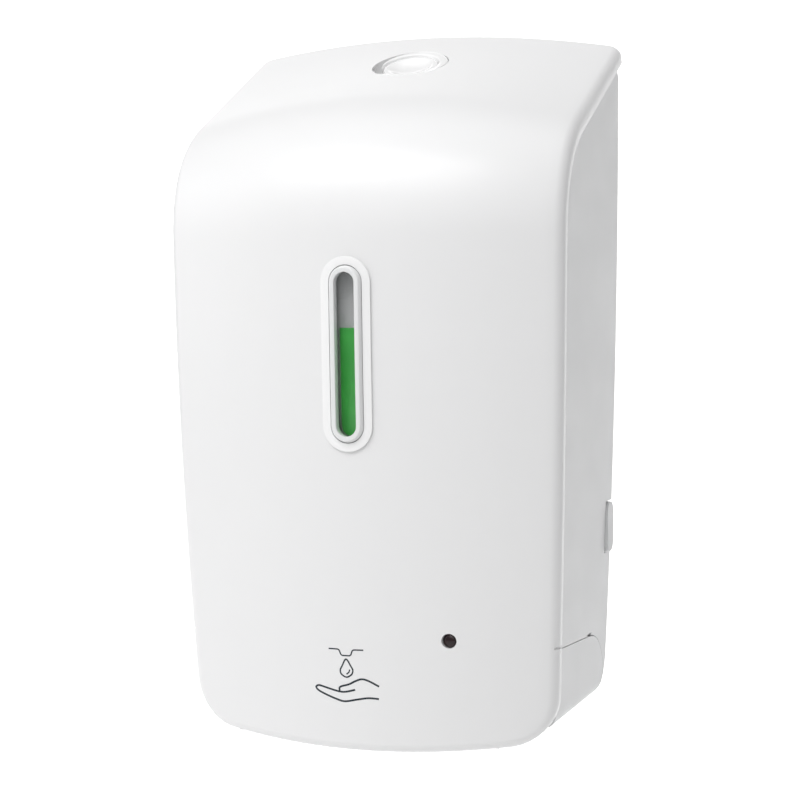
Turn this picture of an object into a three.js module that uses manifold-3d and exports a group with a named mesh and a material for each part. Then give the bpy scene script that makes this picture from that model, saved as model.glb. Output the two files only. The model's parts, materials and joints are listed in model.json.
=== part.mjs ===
// Wall mounted, touch free soap dispenser: a crowned front cover hinged at its bottom edge closes a
// housing that hooks on a wall plate. Inside are a refillable tank, a motor driven gear pump and batteries.
// Millimetres. +Z is up, the wall is the plane y = 0, and the dispenser faces -Y.
import * as THREE from 'three';
import { mergeVertices } from 'three/addons/utils/BufferGeometryUtils.js';
import Module from 'manifold-3d';

const wasm = await Module();
wasm.setup();

// ---------- driving dimensions ----------
const GAP = 0.3;                 // free play between neighbouring pieces
const MOUNT_HEIGHT = 128;        // middle of the wall plate above the cover's bottom edge

// outer form
const HALF_WIDTH = 70;           // of the cover, from the shoulder up
const TAPER_HEIGHT = 196.6;      // below this height the cover narrows and recedes
const NARROWING = [0.62, 4.4];   // linear and square terms of the narrowing at the bottom edge
const EDGE_Y = -86.2;            // the cover's side edges at the top of the taper
const RECESSION = [0.97, 9.39];  // linear and square terms of the setback at the bottom edge
const SHOULDER_START = 172;      // height at which the front starts to turn into the roof
const ROOF_FRONT = [-62, 210];   // y and z at which the straight roof starts
const ROOF_BACK = [-0.8, 240];   // y and z of the roof's back edge
const FRONT_CROWN = 14.75;       // how far the middle of the front stands out from its side edges
const ROOF_CROWN = 6.6;
const BOTTOM_SAG = 1.8;
const COVER_CORNER = 16.8;
const COVER_WALL = 2.6;
const RIM_DEPTH = 5.5;

// housings
const SIDE_INSET = 1.85;         // side walls stand this far inside the cover's edges
const WALL = 2.4;
const FLOOR_Z = 8;
const HOUSING_BACK = -0.5;
const HOUSING_TOP = 230.5;
const BACK_CORNER = 15;
const PLATE_THICKNESS = 3;
const PLATE_HALF_WIDTH = 48;
const PLATE_Z = [42, 214];

// pump and drive
const PUMP_Y = -63.5;            // inlet, gear mesh and outlet are in line here
const DRIVE_Z = 46;              // height of every shaft
const PUMP_MODULE = 1.25;
const PUMP_TEETH = 12;
const PINION_MODULE = 0.8;
const PINION_TEETH = 10;
const WHEEL_TEETH = 36;
const SHAFT_RADIUS = 2;
const MOTOR_RADIUS = 10;

// batteries, AA size
const CELL_RADIUS = 7.25;
const CELL_LENGTH = 50.5;
const CELL_Z = 19.5;
const CELL_ROWS_Y = [-26, -42];
const CELL_X = 26.2;

// tank
const TANK_HALF_WIDTH = 61.5;
const TANK_BACK = -9.3;
const TANK_SIDE_FRONT = -74;
const TANK_FRONT = -88;
const TANK_BOTTOM = 66;
const TANK_WALL = 1.8;
const SOAP_LEVEL = 140;
const NECK_Y = -60;

// things in the front
const BUTTON_Y = -33.5;
const BUTTON_TRAVEL = 3;
const LATCH_TRAVEL = 4;
const WINDOW_Z = 131.4;
const WINDOW_HALF_HEIGHT = 32.4;
const WINDOW_HALF_WIDTH = 8.8;
const FRAME_STEP = -2.7;         // the raised inner frame of the window, inside the ring's edge
const SLOT_STEP = -5.3;          // the sight slot, inside the ring's edge
const INDICATOR = [32.2, 36.4];  // x and z

// bottom hinge
const HINGE_Y = -66;
const HINGE_Z = 3;
const HINGE_SPOTS = [-45, 45];

// ---------- materials ----------
const finish = (color, roughness, metalness = 0) =>
  new THREE.MeshStandardMaterial({ color, roughness, metalness });
const whiteGloss = () => finish('#f1f2f2', 0.28);
const whiteSatin = () => finish('#e6e8e9', 0.45);
const clearPlastic = () => finish('#c9d2d2', 0.12);
const greyPlastic = () => finish('#8d9397', 0.55);
const blackPlastic = () => finish('#17181a', 0.4);
const rubber = () => finish('#3a3c3e', 0.85);
const silicone = () => finish('#d9dcd8', 0.6);
const steel = () => finish('#b9bcc0', 0.3, 1);
const brass = () => finish('#c9a45a', 0.35, 1);
const acetal = () => finish('#f4efe0', 0.5);

// ---------- solids ----------
function toSolid(geometry) {
  const bare = geometry.clone();
  bare.deleteAttribute('normal');
  bare.deleteAttribute('uv');
  const merged = mergeVertices(bare, 1e-4);
  return new wasm.Manifold(new wasm.Mesh({
    numProp: 3,
    vertProperties: new Float32Array(merged.attributes.position.array),
    triVerts: new Uint32Array(merged.index.array),
  }));
}

function toGeometry(solid) {
  const mesh = solid.getMesh();
  const geometry = new THREE.BufferGeometry();
  geometry.setAttribute('position', new THREE.BufferAttribute(mesh.vertProperties, 3));
  geometry.setIndex(new THREE.BufferAttribute(mesh.triVerts, 1));
  geometry.computeVertexNormals();
  return geometry;
}

const combine = (operation, first, others) =>
  toGeometry(others.reduce((solid, other) => solid[operation](toSolid(other)), toSolid(first)));
const join = (first, ...others) => combine('add', first, others);
const cut = (first, ...others) => combine('subtract', first, others);
const common = (first, ...others) => combine('intersect', first, others);

// a block from its lowest to its highest corner
function block([x0, y0, z0], [x1, y1, z1]) {
  return new THREE.BoxGeometry(x1 - x0, y1 - y0, z1 - z0)
    .translate((x0 + x1) / 2, (y0 + y1) / 2, (z0 + z1) / 2);
}

// a round bar along one axis, from its start centre
function rod(axis, radius, length, [x, y, z], segments = 16) {
  const bar = new THREE.CylinderGeometry(radius, radius, length, segments).translate(0, length / 2, 0);
  if (axis === 'x') bar.rotateZ(-Math.PI / 2);
  if (axis === 'z') bar.rotateX(Math.PI / 2);
  return bar.translate(x, y, z);
}

// a turned piece about +Z from [radius, height] points, taken anticlockwise so that it faces out
function turned(points, segments = 20) {
  const profile = points.map(([radius, height]) => new THREE.Vector2(radius, height));
  if (THREE.ShapeUtils.area(profile) < 0) profile.reverse();
  return new THREE.LatheGeometry(profile, segments).rotateX(Math.PI / 2);
}

const extrude = (shape, depth, curveSegments = 5) =>
  new THREE.ExtrudeGeometry(shape, { depth, bevelEnabled: false, curveSegments });

// shape in x, y raised along z
const raise = (shape, fromZ, toZ) => extrude(shape, toZ - fromZ).translate(0, 0, fromZ);

// shape in x, z pushed from one y forward to a lower y
const pushForward = (shape, fromY, toY) =>
  extrude(shape, fromY - toY).rotateX(Math.PI / 2).translate(0, fromY, 0);

// shape in y, z pushed along x
const pushAcross = (shape, fromX, toX) =>
  extrude(shape, toX - fromX).rotateX(Math.PI / 2).rotateZ(Math.PI / 2).translate(fromX, 0, 0);

function roundedRectangle(x0, y0, x1, y1, radius) {
  const shape = new THREE.Shape();
  shape.moveTo(x0 + radius, y0);
  shape.absarc(x1 - radius, y0 + radius, radius, -Math.PI / 2, 0);
  shape.absarc(x1 - radius, y1 - radius, radius, 0, Math.PI / 2);
  shape.absarc(x0 + radius, y1 - radius, radius, Math.PI / 2, Math.PI);
  shape.absarc(x0 + radius, y0 + radius, radius, Math.PI, 1.5 * Math.PI);
  return shape;
}

function polygon(points) {
  return new THREE.Shape(points.map(([x, y]) => new THREE.Vector2(x, y)));
}

// ---------- the outer form ----------
const taper = z => Math.max(0, (TAPER_HEIGHT - z) / TAPER_HEIGHT);
const halfWidth = z => HALF_WIDTH - NARROWING[0] * taper(z) - NARROWING[1] * taper(z) ** 2;
const edgeY = z => EDGE_Y + RECESSION[0] * taper(z) + RECESSION[1] * taper(z) ** 2;

// points along the cover's side edge, each with its outward direction and its crown
function edgeStations() {
  const start = new THREE.Vector2(edgeY(SHOULDER_START), SHOULDER_START);
  const roofFront = new THREE.Vector2(...ROOF_FRONT);
  const roofBack = new THREE.Vector2(...ROOF_BACK);
  const roofSlope = (ROOF_BACK[1] - ROOF_FRONT[1]) / (ROOF_BACK[0] - ROOF_FRONT[0]);
  const corner = new THREE.Vector2(start.x + 0.4, ROOF_FRONT[1] + roofSlope * (start.x + 0.4 - ROOF_FRONT[0]));
  const stations = [];
  const keep = (point, direction, turn) => {
    const crown = FRONT_CROWN + (ROOF_CROWN - FRONT_CROWN) * turn * turn * (3 - 2 * turn);
    stations.push({ y: point.x, z: point.y, outY: -direction.y, outZ: direction.x, crown });
  };
  const frontSteps = 6;
  for (let i = 0; i < frontSteps; i++) {
    const z = -4 + (SHOULDER_START + 4) * i / frontSteps;
    const rise = new THREE.Vector2(edgeY(z + 0.5) - edgeY(z - 0.5), 1).normalize();
    keep(new THREE.Vector2(edgeY(z), z), rise, 0);
  }
  const shoulder = new THREE.QuadraticBezierCurve(start, corner, roofFront);
  const shoulderSteps = 7;
  for (let i = 0; i < shoulderSteps; i++) {
    keep(shoulder.getPoint(i / shoulderSteps), shoulder.getTangent(i / shoulderSteps), 0.5 * i / shoulderSteps);
  }
  const roofSteps = 3;
  const roof = new THREE.LineCurve(roofFront, roofBack);
  for (let i = 0; i <= roofSteps; i++) {
    keep(roof.getPoint(i / roofSteps), roof.getTangent(0), 0.5 + 0.5 * i / roofSteps);
  }
  return stations;
}
const STATIONS = edgeStations();
const ACROSS = 12;               // steps across the crowned form

// a point on the cover's crowned surface, or at a depth under it
function coverPoint(x, station, depth) {
  const rise = station.crown * (1 - (x / halfWidth(station.z)) ** 2) - depth;
  return [x, station.y + station.outY * rise, station.z + station.outZ * rise];
}

// a box bent over the cover's form: place(across, station, outward) gives each vertex
function bentBox(across, place) {
  const box = new THREE.BoxGeometry(2, 1, 1, across, STATIONS.length - 1, 1);
  const position = box.attributes.position;
  for (let i = 0; i < position.count; i++) {
    const station = STATIONS[Math.round((position.getY(i) + 0.5) * (STATIONS.length - 1))];
    position.setXYZ(i, ...place(position.getX(i), station, position.getZ(i) + 0.5));
  }
  return box;
}

// the layer between two depths under the cover's surface
function coverLayer(outerDepth, innerDepth, inset = 0) {
  return bentBox(ACROSS, (across, station, outward) =>
    coverPoint(across * (halfWidth(station.z) - inset), station,
      innerDepth + (outerDepth - innerDepth) * outward));
}

// everything between a depth under the cover's surface and the wall
function behindCover(depth) {
  return bentBox(ACROSS, (across, station, outward) => {
    const [x, y, z] = coverPoint(across * halfWidth(station.z), station, depth);
    return [x, outward > 0.5 ? y : 1, z];
  });
}

// front view outline, x and z, inset from the cover's edges, with a crowned top edge
function frontOutline(inset, bottomZ, radius, sag = 0, top = 260) {
  const shape = new THREE.Shape();
  const cornerX = halfWidth(bottomZ + radius) - inset - radius;
  const steps = 5;
  shape.moveTo(-cornerX, bottomZ);
  shape.quadraticCurveTo(0, bottomZ - 2 * sag, cornerX, bottomZ);
  shape.absarc(cornerX, bottomZ + radius, radius, -Math.PI / 2, 0);
  const heights = Array.from({ length: steps }, (_, i) =>
    bottomZ + radius + (TAPER_HEIGHT - bottomZ - radius) * (i + 1) / steps);
  heights.forEach(z => shape.lineTo(halfWidth(z) - inset, z));
  shape.lineTo(HALF_WIDTH - inset, top);
  shape.quadraticCurveTo(0, top + 2 * ROOF_CROWN, -HALF_WIDTH + inset, top);
  heights.reverse().forEach(z => shape.lineTo(-halfWidth(z) + inset, z));
  shape.absarc(-cornerX, bottomZ + radius, radius, Math.PI, 1.5 * Math.PI);
  return shape;
}

// ---------- assembly ----------
const dispenser = new THREE.Group();
const model = new THREE.Group();
model.position.z = -MOUNT_HEIGHT;
dispenser.add(model);

function add(name, geometry, material, parent = model) {
  const mesh = new THREE.Mesh(geometry, material);
  mesh.name = name;
  parent.add(mesh);
  return mesh;
}

// a group whose own +Z stands square on the sloping roof, under the middle of the cover
const ROOF_ANGLE = Math.atan2(ROOF_BACK[1] - ROOF_FRONT[1], ROOF_BACK[0] - ROOF_FRONT[0]);
const BUTTON_Z = ROOF_FRONT[1] + Math.tan(ROOF_ANGLE) * (BUTTON_Y - ROOF_FRONT[0]) + 8.6;
const roofFrame = new THREE.Group();
roofFrame.position.set(0, BUTTON_Y, BUTTON_Z);
roofFrame.rotation.x = ROOF_ANGLE;
model.add(roofFrame);
const onRoof = geometry => geometry.rotateX(ROOF_ANGLE).translate(0, BUTTON_Y, BUTTON_Z);

// ---------- wall plate ----------
const HOOKS = [[-30, 60], [30, 60], [-30, 186], [30, 186]];
const FIXINGS = [[-42, 198], [42, 198], [-40, 50], [40, 50]];
const CATCH_Z = [57, 75];

function wallPlate() {
  const outline = roundedRectangle(-PLATE_HALF_WIDTH, PLATE_Z[0], PLATE_HALF_WIDTH, PLATE_Z[1], 6);
  const wallHole = (x, z) => rod('y', 2.6, PLATE_THICKNESS + 2, [x, -PLATE_THICKNESS - 1, z], 12);
  const holes = [wallHole(0, 200), wallHole(0, 56), wallHole(-20, 100), wallHole(20, 100)];
  const threads = FIXINGS.map(([x, z]) => rod('y', 2, PLATE_THICKNESS + 2, [x, -PLATE_THICKNESS - 1, z], 10));
  const hooks = HOOKS.flatMap(([x, z]) => [
    block([x - 5, -9, z], [x + 5, -PLATE_THICKNESS + 1, z + 3]),
    block([x - 5, -9, z], [x + 5, -7, z + 8])]);
  const padOutline = () => roundedRectangle(-9, CATCH_Z[0], -0.4, CATCH_Z[1], 4);
  const [padIn, padOut] = [halfWidth(66) - 5, halfWidth(66) - SIDE_INSET + 1];
  const catches = [
    pushAcross(padOutline(), padIn, padOut),
    pushAcross(padOutline(), -padOut, -padIn),
    block([-padIn - 1, -PLATE_THICKNESS, 60], [padIn + 1, -0.4, 72]),
  ];
  return cut(join(pushForward(outline, 0, -PLATE_THICKNESS), ...hooks, ...catches), ...holes, ...threads);
}
add('wall_plate', wallPlate(), whiteSatin());

// ---------- housings ----------
// where the two housings part, seen from the side
function sideSeam(shift) {
  const shape = new THREE.Shape();
  shape.moveTo(-120, -20);
  shape.lineTo(-120, 36.4 + shift);
  shape.lineTo(-30, 31 + shift);
  shape.quadraticCurveTo(-13, 30 + shift, -6 + shift, 14);
  shape.lineTo(-1 + shift, 0);
  shape.lineTo(-1 + shift, -20);
  return pushAcross(shape, -90, 90);
}

function housingEnvelope() {
  const side = new THREE.Shape();
  side.moveTo(-120, FLOOR_Z);
  side.lineTo(HOUSING_BACK - BACK_CORNER, FLOOR_Z);
  side.absarc(HOUSING_BACK - BACK_CORNER, FLOOR_Z + BACK_CORNER, BACK_CORNER, -Math.PI / 2, 0);
  side.lineTo(HOUSING_BACK, 250);
  side.lineTo(-120, 250);
  return common(behindCover(RIM_DEPTH + GAP), pushAcross(side, -90, 90),
    pushForward(frontOutline(SIDE_INSET, FLOOR_Z, 8, 0, HOUSING_TOP), 2, -120));
}
const envelope = housingEnvelope();
const BACK_WALL = [-6.2, -PLATE_THICKNESS - GAP];

// the same block on the left and on the right, from a lowest to a highest corner on the right
const bothSides = ([x0, y0, z0], [x1, y1, z1]) =>
  [block([x0, y0, z0], [x1, y1, z1]), block([-x1, y0, z0], [-x0, y1, z1])];

function backHousing() {
  const inside = frontOutline(SIDE_INSET + WALL, FLOOR_Z - 20, 6);
  const hookSlots = HOOKS.map(([x, z]) => block([x - 6, -8, z - 1], [x + 6, 0, z + 10]));
  const screwHoles = FIXINGS.map(([x, z]) => rod('y', 2, 6, [x, -8, z], 10));
  const catchSlot = block([-80, -9.4, CATCH_Z[0] - 0.4], [80, -0.05, CATCH_Z[1] + 0.4]);
  const catchGuard = block([-60, -9.6, CATCH_Z[0] - 2], [60, 2, CATCH_Z[1] + 2]);
  const seamNotches = bothSides([63.3, -30.5, 30.3], [72, -24.5, 32.2]);
  return cut(envelope, sideSeam(GAP), pushForward(inside, BACK_WALL[0], -130),
    pushForward(inside, 3, BACK_WALL[1]), cut(catchSlot, catchGuard), ...hookSlots, ...screwHoles,
    ...seamNotches);
}
add('back_housing', backHousing(), whiteGloss());

const BATTERY_BAY = [[-55, -51.5], [55, -16.5]];
const POSTS = [[-58, -59], [58, -59], [-58.2, -23], [58.2, -23]];
function lowerHousing() {
  const inside = frontOutline(SIDE_INSET + WALL, FLOOR_Z + WALL, 5.6);
  const room = new THREE.Shape();
  room.moveTo(-130, FLOOR_Z + WALL);
  room.lineTo(-22, FLOOR_Z + WALL);
  room.absarc(-22, FLOOR_Z + WALL + 8, 8, -Math.PI / 2, 0);
  room.lineTo(-14, 60);
  room.lineTo(-130, 60);
  const cavity = common(pushForward(inside, 0, -130), pushAcross(room, -80, 80));
  const bay = block([BATTERY_BAY[0][0], BATTERY_BAY[0][1], 0], [BATTERY_BAY[1][0], BATTERY_BAY[1][1], 12]);
  const nozzleHole = rod('z', 7.3, 10, [0, PUMP_Y, 4]);
  const sensorHole = block([14, PUMP_Y - 4.5, 4], [32, PUMP_Y + 4.5, 14]);
  const lugs = HINGE_SPOTS.flatMap(x => [x - 4.5, x + 4.5].map(middle => cut(
    join(rod('x', 4, 4, [middle - 2, HINGE_Y, HINGE_Z]), block([middle - 2, HINGE_Y - 4, HINGE_Z],
      [middle + 2, HINGE_Y + 4, FLOOR_Z + 0.5])),
    rod('x', 1.8, 8, [middle - 4, HINGE_Y, HINGE_Z], 16))));
  const posts = POSTS.map(([x, y]) => cut(rod('z', 3, 30.7 - FLOOR_Z - 1, [x, y, FLOOR_Z + 1], 12),
    rod('z', 1.6, 14, [x, y, 18], 10)));
  return join(cut(common(envelope, sideSeam(0)), cavity, bay, nozzleHole, sensorHole), ...lugs, ...posts);
}
add('lower_housing', lowerHousing(), whiteGloss());

HINGE_SPOTS.forEach((x, i) =>
  add(`hinge_pin_${['left', 'right'][i]}`, rod('x', 1.5, 13, [x - 6.5, HINGE_Y, HINGE_Z], 16), steel()));

FIXINGS.forEach(([x, z], i) => {
  const screw = turned([[0, 8.6], [3.6, 8.6], [3.6, 6.5], [1.7, 6.5], [1.7, 0.4], [0, 0.4]], 12);
  add(`fixing_screw_${i + 1}`, screw.rotateX(Math.PI / 2).translate(x, 0, z), steel());
});

// ---------- battery door ----------
function batteryDoor() {
  const [[x0, y0], [x1, y1]] = BATTERY_BAY;
  const panel = block([x0 + GAP, y0 + GAP, FLOOR_Z], [x1 - GAP, y1 - GAP - 0.5, FLOOR_Z + 2]);
  const grip = block([-12, y0 + 3, FLOOR_Z - 2], [12, y0 + 5, FLOOR_Z + 0.5]);
  return join(panel, grip);
}
add('battery_door', batteryDoor(), whiteGloss());

// ---------- batteries and contacts ----------
CELL_ROWS_Y.forEach((y, row) => [-1, 1].forEach((side, column) => {
  const nub = 1.2;
  const cell = turned([[0, 0], [CELL_RADIUS - 0.6, 0], [CELL_RADIUS, 0.6], [CELL_RADIUS, CELL_LENGTH - nub],
    [2.7, CELL_LENGTH - nub], [2.7, CELL_LENGTH], [0, CELL_LENGTH]], 16);
  cell.rotateY(Math.PI / 2).translate(side * CELL_X - CELL_LENGTH / 2, y, CELL_Z);
  add(`battery_${row * 2 + column + 1}`, cell, finish('#2f4f46', 0.35, 0.3));
}));

[-1, 1].forEach(side => {
  const face = side * (CELL_X + CELL_LENGTH / 2 + 2.2);
  const plate = block([Math.min(face, face + side * 0.6), -49.5, 12.6],
    [Math.max(face, face + side * 0.6), -18.5, 26.4]);
  const tips = CELL_ROWS_Y.map(y => turned([[0, 0], [4, 0], [2.4, 1.8], [0, 1.8]], 16)
    .rotateY(-side * Math.PI / 2).translate(face + side * 0.1, y, CELL_Z));
  add(`battery_contact_${side < 0 ? 'left' : 'right'}`, join(plate, ...tips), brass());
});

// ---------- pump deck ----------
const DECK_Z = [31, 33.5];
function pumpDeck() {
  const plate = join(raise(roundedRectangle(-61, -73.5, 61, -17, 4), ...DECK_Z),
    block([-13, -83.5, DECK_Z[0]], [13, -70, DECK_Z[1]]));
  const cradles = [-1, 1].map(side =>
    block([Math.min(side * 52.6, side * 55), -70, DECK_Z[0]], [Math.max(side * 52.6, side * 55), -20, 65.6]));
  const holes = POSTS.map(([x, y]) => rod('z', 1.6, 6, [x, y, 29], 10));
  return cut(join(plate, ...cradles), rod('z', 4.2, 6, [0, PUMP_Y, 29]), ...holes,
    block([20, PUMP_Y - 3, 29], [26, PUMP_Y + 3, 35]), block([-18.6, -73, 29], [-11.4, -39, 35]));
}
add('pump_deck', pumpDeck(), greyPlastic());

POSTS.forEach(([x, y], i) => {
  const screw = turned([[0, 20], [1.2, 20], [1.2, 33.8], [2.6, 33.8], [2.6, 35.6], [0, 35.6]], 12);
  add(`deck_screw_${i + 1}`, screw.translate(x, y, 0), steel());
});

// ---------- motor and reduction ----------
const PUMP_SPACING = PUMP_MODULE * PUMP_TEETH;
const DRIVE_Y = PUMP_Y + PUMP_SPACING / 2;
const DRIVEN_Y = PUMP_Y - PUMP_SPACING / 2;
const MOTOR_Y = DRIVE_Y + PINION_MODULE * (PINION_TEETH + WHEEL_TEETH) / 2;

// a spur gear in the y, z plane with its first tooth or gap turned towards an angle
function gear(module, teeth, bore, fromX, toX, [y, z], turn) {
  const pitch = 2 * Math.PI / teeth;
  const root = module * (teeth / 2 - 1.3);
  const tip = module * (teeth / 2 + 0.82);
  const shape = new THREE.Shape();
  const flank = [[root, -0.3], [tip, -0.1], [tip, 0.1], [root, 0.3]];
  for (let i = 0; i < teeth; i++) {
    flank.forEach(([radius, share], j) => {
      const angle = turn + pitch * (i + share);
      const step = [radius * Math.cos(angle), radius * Math.sin(angle)];
      if (i + j === 0) shape.moveTo(...step);
      else shape.lineTo(...step);
    });
  }
  const hole = new THREE.Path();
  hole.absarc(0, 0, bore, 0, 2 * Math.PI, true);
  shape.holes.push(hole);
  return pushAcross(shape, fromX, toX).translate(0, y, z);
}
const halfTooth = teeth => Math.PI / teeth;

add('motor_can', rod('x', MOTOR_RADIUS, 26.5, [-51.5, MOTOR_Y, DRIVE_Z], 24), steel());
add('motor_shaft', rod('x', 1, 13, [-24.6, MOTOR_Y, DRIVE_Z], 12), steel());
add('motor_pinion', gear(PINION_MODULE, PINION_TEETH, 1.3, -18, -12, [MOTOR_Y, DRIVE_Z], Math.PI), brass());
add('reduction_wheel', gear(PINION_MODULE, WHEEL_TEETH, SHAFT_RADIUS + GAP, -17.5, -12.5,
  [DRIVE_Y, DRIVE_Z], halfTooth(WHEEL_TEETH)), acetal());
add('drive_shaft', rod('x', SHAFT_RADIUS, 31, [-24.5, DRIVE_Y, DRIVE_Z], 16), steel());

function gearPlate() {
  const plate = pushAcross(roundedRectangle(-74, DECK_Z[1] + GAP, -27, 58.5, 3), -22, -19.5);
  const foot = block([-22, -72, DECK_Z[1] + GAP], [-19.5, -30, DECK_Z[1] + 3]);
  return cut(join(plate, foot), rod('x', SHAFT_RADIUS + GAP, 6, [-24, DRIVE_Y, DRIVE_Z], 16),
    rod('x', 2, 6, [-24, MOTOR_Y, DRIVE_Z], 16));
}
add('gear_plate', gearPlate(), greyPlastic());

// ---------- gear pump ----------
const CHAMBER_RADIUS = PUMP_MODULE * (PUMP_TEETH / 2 + 0.82) + 0.4;
const CHAMBER_X = [-4.3, 6];
function pumpBody() {
  const [z0, z1] = [DECK_Z[1] + GAP, 57];
  const outer = pushAcross(roundedRectangle(DRIVEN_Y - 11.3, z0, DRIVE_Y + 11.3, z1, 4), -10, CHAMBER_X[1]);
  const inletBoss = rod('z', 5.9, 6.5, [0, PUMP_Y, z1 - 1]);
  const chamber = [DRIVE_Y, DRIVEN_Y].map(y =>
    rod('x', CHAMBER_RADIUS, 12, [CHAMBER_X[0], y, DRIVE_Z], 24));
  const inlet = [rod('z', 2, 20, [0, PUMP_Y, DRIVE_Z + 4], 16), rod('z', 4.4, 10, [0, PUMP_Y, 58])];
  const outlet = rod('z', 3.8, 5, [0, PUMP_Y, z0 - 1], 16);
  const outletWay = rod('z', 2, 14, [0, PUMP_Y, z0 - 1], 16);
  return cut(join(outer, inletBoss), ...chamber, ...inlet, outlet, outletWay,
    rod('x', SHAFT_RADIUS + GAP, 8, [-12, DRIVE_Y, DRIVE_Z], 16),
    rod('x', SHAFT_RADIUS + GAP, 4, [-8, DRIVEN_Y, DRIVE_Z], 16));
}
add('pump_body', pumpBody(), greyPlastic());
add('pump_cover', pushAcross(roundedRectangle(DRIVEN_Y - 11.3, DECK_Z[1] + GAP, DRIVE_Y + 11.3, 57, 4),
  CHAMBER_X[1] + 1, CHAMBER_X[1] + 3.6), greyPlastic());
function pumpGasket() {
  const shape = roundedRectangle(DRIVEN_Y - 11.1, DECK_Z[1] + 0.5, DRIVE_Y + 11.1, 56.8, 3.8);
  shape.holes.push(roundedRectangle(DRIVEN_Y - 9.6, DECK_Z[1] + 2, DRIVE_Y + 9.6, 55.3, 3.5));
  return pushAcross(shape, CHAMBER_X[1] + 0.2, CHAMBER_X[1] + 0.8);
}
add('pump_gasket', pumpGasket(), rubber());
add('pump_drive_gear', gear(PUMP_MODULE, PUMP_TEETH, SHAFT_RADIUS + GAP, -4, 4,
  [DRIVE_Y, DRIVE_Z], Math.PI), acetal());
add('pump_driven_gear', gear(PUMP_MODULE, PUMP_TEETH, SHAFT_RADIUS + GAP, -4, 4,
  [DRIVEN_Y, DRIVE_Z], halfTooth(PUMP_TEETH)), acetal());
add('driven_gear_axle', rod('x', SHAFT_RADIUS, 12.5, [-7.2, DRIVEN_Y, DRIVE_Z], 16), steel());

// ---------- outlet ----------
add('outlet_tube', turned([[2, 18], [3.5, 18], [3.5, 37.4], [2, 37.4], [2, 18]], 16)
  .translate(0, PUMP_Y, 0), silicone());
add('nozzle', turned([[2.2, 0.8], [3.6, 0.8], [5.2, 5], [7, 5.2], [7, 10.7], [9.6, 10.7], [9.6, 12.4],
  [5.4, 12.4], [5.4, 17.4], [4, 17.4], [4, 11], [3.1, 9], [2.2, 8.6], [2.2, 0.8]], 20)
  .translate(0, PUMP_Y, 0), whiteSatin());
add('nozzle_valve', turned([[0.4, 11.4], [0.4, 12.6], [1.2, 17.2], [3.6, 17.2], [3.6, 15.8], [2.2, 15.4],
  [1.4, 11.4], [0.4, 11.4]], 16).translate(0, PUMP_Y, 0), silicone());

// ---------- tank ----------
const TANK_TOP_SLOPE = Math.tan(ROOF_ANGLE);
const TANK_TOP_AT_WALL = 209.6;  // height of the sloping rim if it ran on to y = 0
const tankTopZ = y => TANK_TOP_AT_WALL + TANK_TOP_SLOPE * y;

function tankPlan(inset) {
  const [side, back] = [TANK_HALF_WIDTH - inset, TANK_BACK - inset];
  const radius = 6;
  const shape = new THREE.Shape();
  shape.moveTo(-side, TANK_SIDE_FRONT + inset);
  shape.quadraticCurveTo(0, 2 * TANK_FRONT - TANK_SIDE_FRONT + inset, side, TANK_SIDE_FRONT + inset);
  shape.absarc(side - radius, back - radius, radius, 0, Math.PI / 2);
  shape.absarc(-side + radius, back - radius, radius, Math.PI / 2, Math.PI);
  return shape;
}

// everything below the sloping top, raised by an offset
const belowTankTop = offset => pushAcross(polygon([[-120, 50], [0, 50], [0, tankTopZ(0) + offset],
  [-120, tankTopZ(-120) + offset]]), -80, 80);

function tankBody() {
  const outlet = turned([[2.2, 60], [4, 60], [4, TANK_BOTTOM + 1], [2.2, TANK_BOTTOM + 1], [2.2, 60]], 20)
    .translate(0, PUMP_Y, 0);
  const shell = cut(common(raise(tankPlan(0), TANK_BOTTOM, 230), belowTankTop(0)),
    raise(tankPlan(TANK_WALL), TANK_BOTTOM + TANK_WALL, 240), rod('z', 2.2, 6, [0, PUMP_Y, 64], 20));
  return join(shell, outlet);
}
add('tank_body', tankBody(), clearPlastic());

function soapBody() {
  return raise(tankPlan(TANK_WALL + GAP), TANK_BOTTOM + TANK_WALL + GAP, SOAP_LEVEL);
}
add('soap', soapBody(), finish('#3f9c47', 0.2));

const onTankTop = geometry => geometry.rotateX(ROOF_ANGLE).translate(0, NECK_Y, tankTopZ(NECK_Y));
const NECK_RADIUS = 12;
function tankLid() {
  const sheet = cut(common(raise(tankPlan(0), 140, 240), belowTankTop(2 + GAP)), belowTankTop(GAP));
  const neck = onTankTop(rod('z', NECK_RADIUS, 8, [0, 0, 1]));
  return cut(join(sheet, neck), onTankTop(rod('z', NECK_RADIUS - 1.6, 20, [0, 0, -6])));
}
add('tank_lid', tankLid(), clearPlastic());

const neckFrame = new THREE.Group();
neckFrame.position.set(0, NECK_Y, tankTopZ(NECK_Y));
neckFrame.rotation.x = ROOF_ANGLE;
model.add(neckFrame);
add('filler_seal', turned([[NECK_RADIUS - 1.5, 9.3], [NECK_RADIUS, 9.3], [NECK_RADIUS, 10.3],
  [NECK_RADIUS - 1.5, 10.3], [NECK_RADIUS - 1.5, 9.3]]), rubber(), neckFrame);
function fillerCap() {
  const cap = turned([[0, 10.6], [NECK_RADIUS + 0.5, 10.6], [NECK_RADIUS + 0.5, 4], [NECK_RADIUS + 2.5, 4],
    [NECK_RADIUS + 2.5, 12.6], [0, 12.6]]);
  return join(cap, block([-10, -1.6, 12], [10, 1.6, 17]));
}
add('filler_cap', fillerCap(), finish('#4a8fc0', 0.45), neckFrame);

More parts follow.
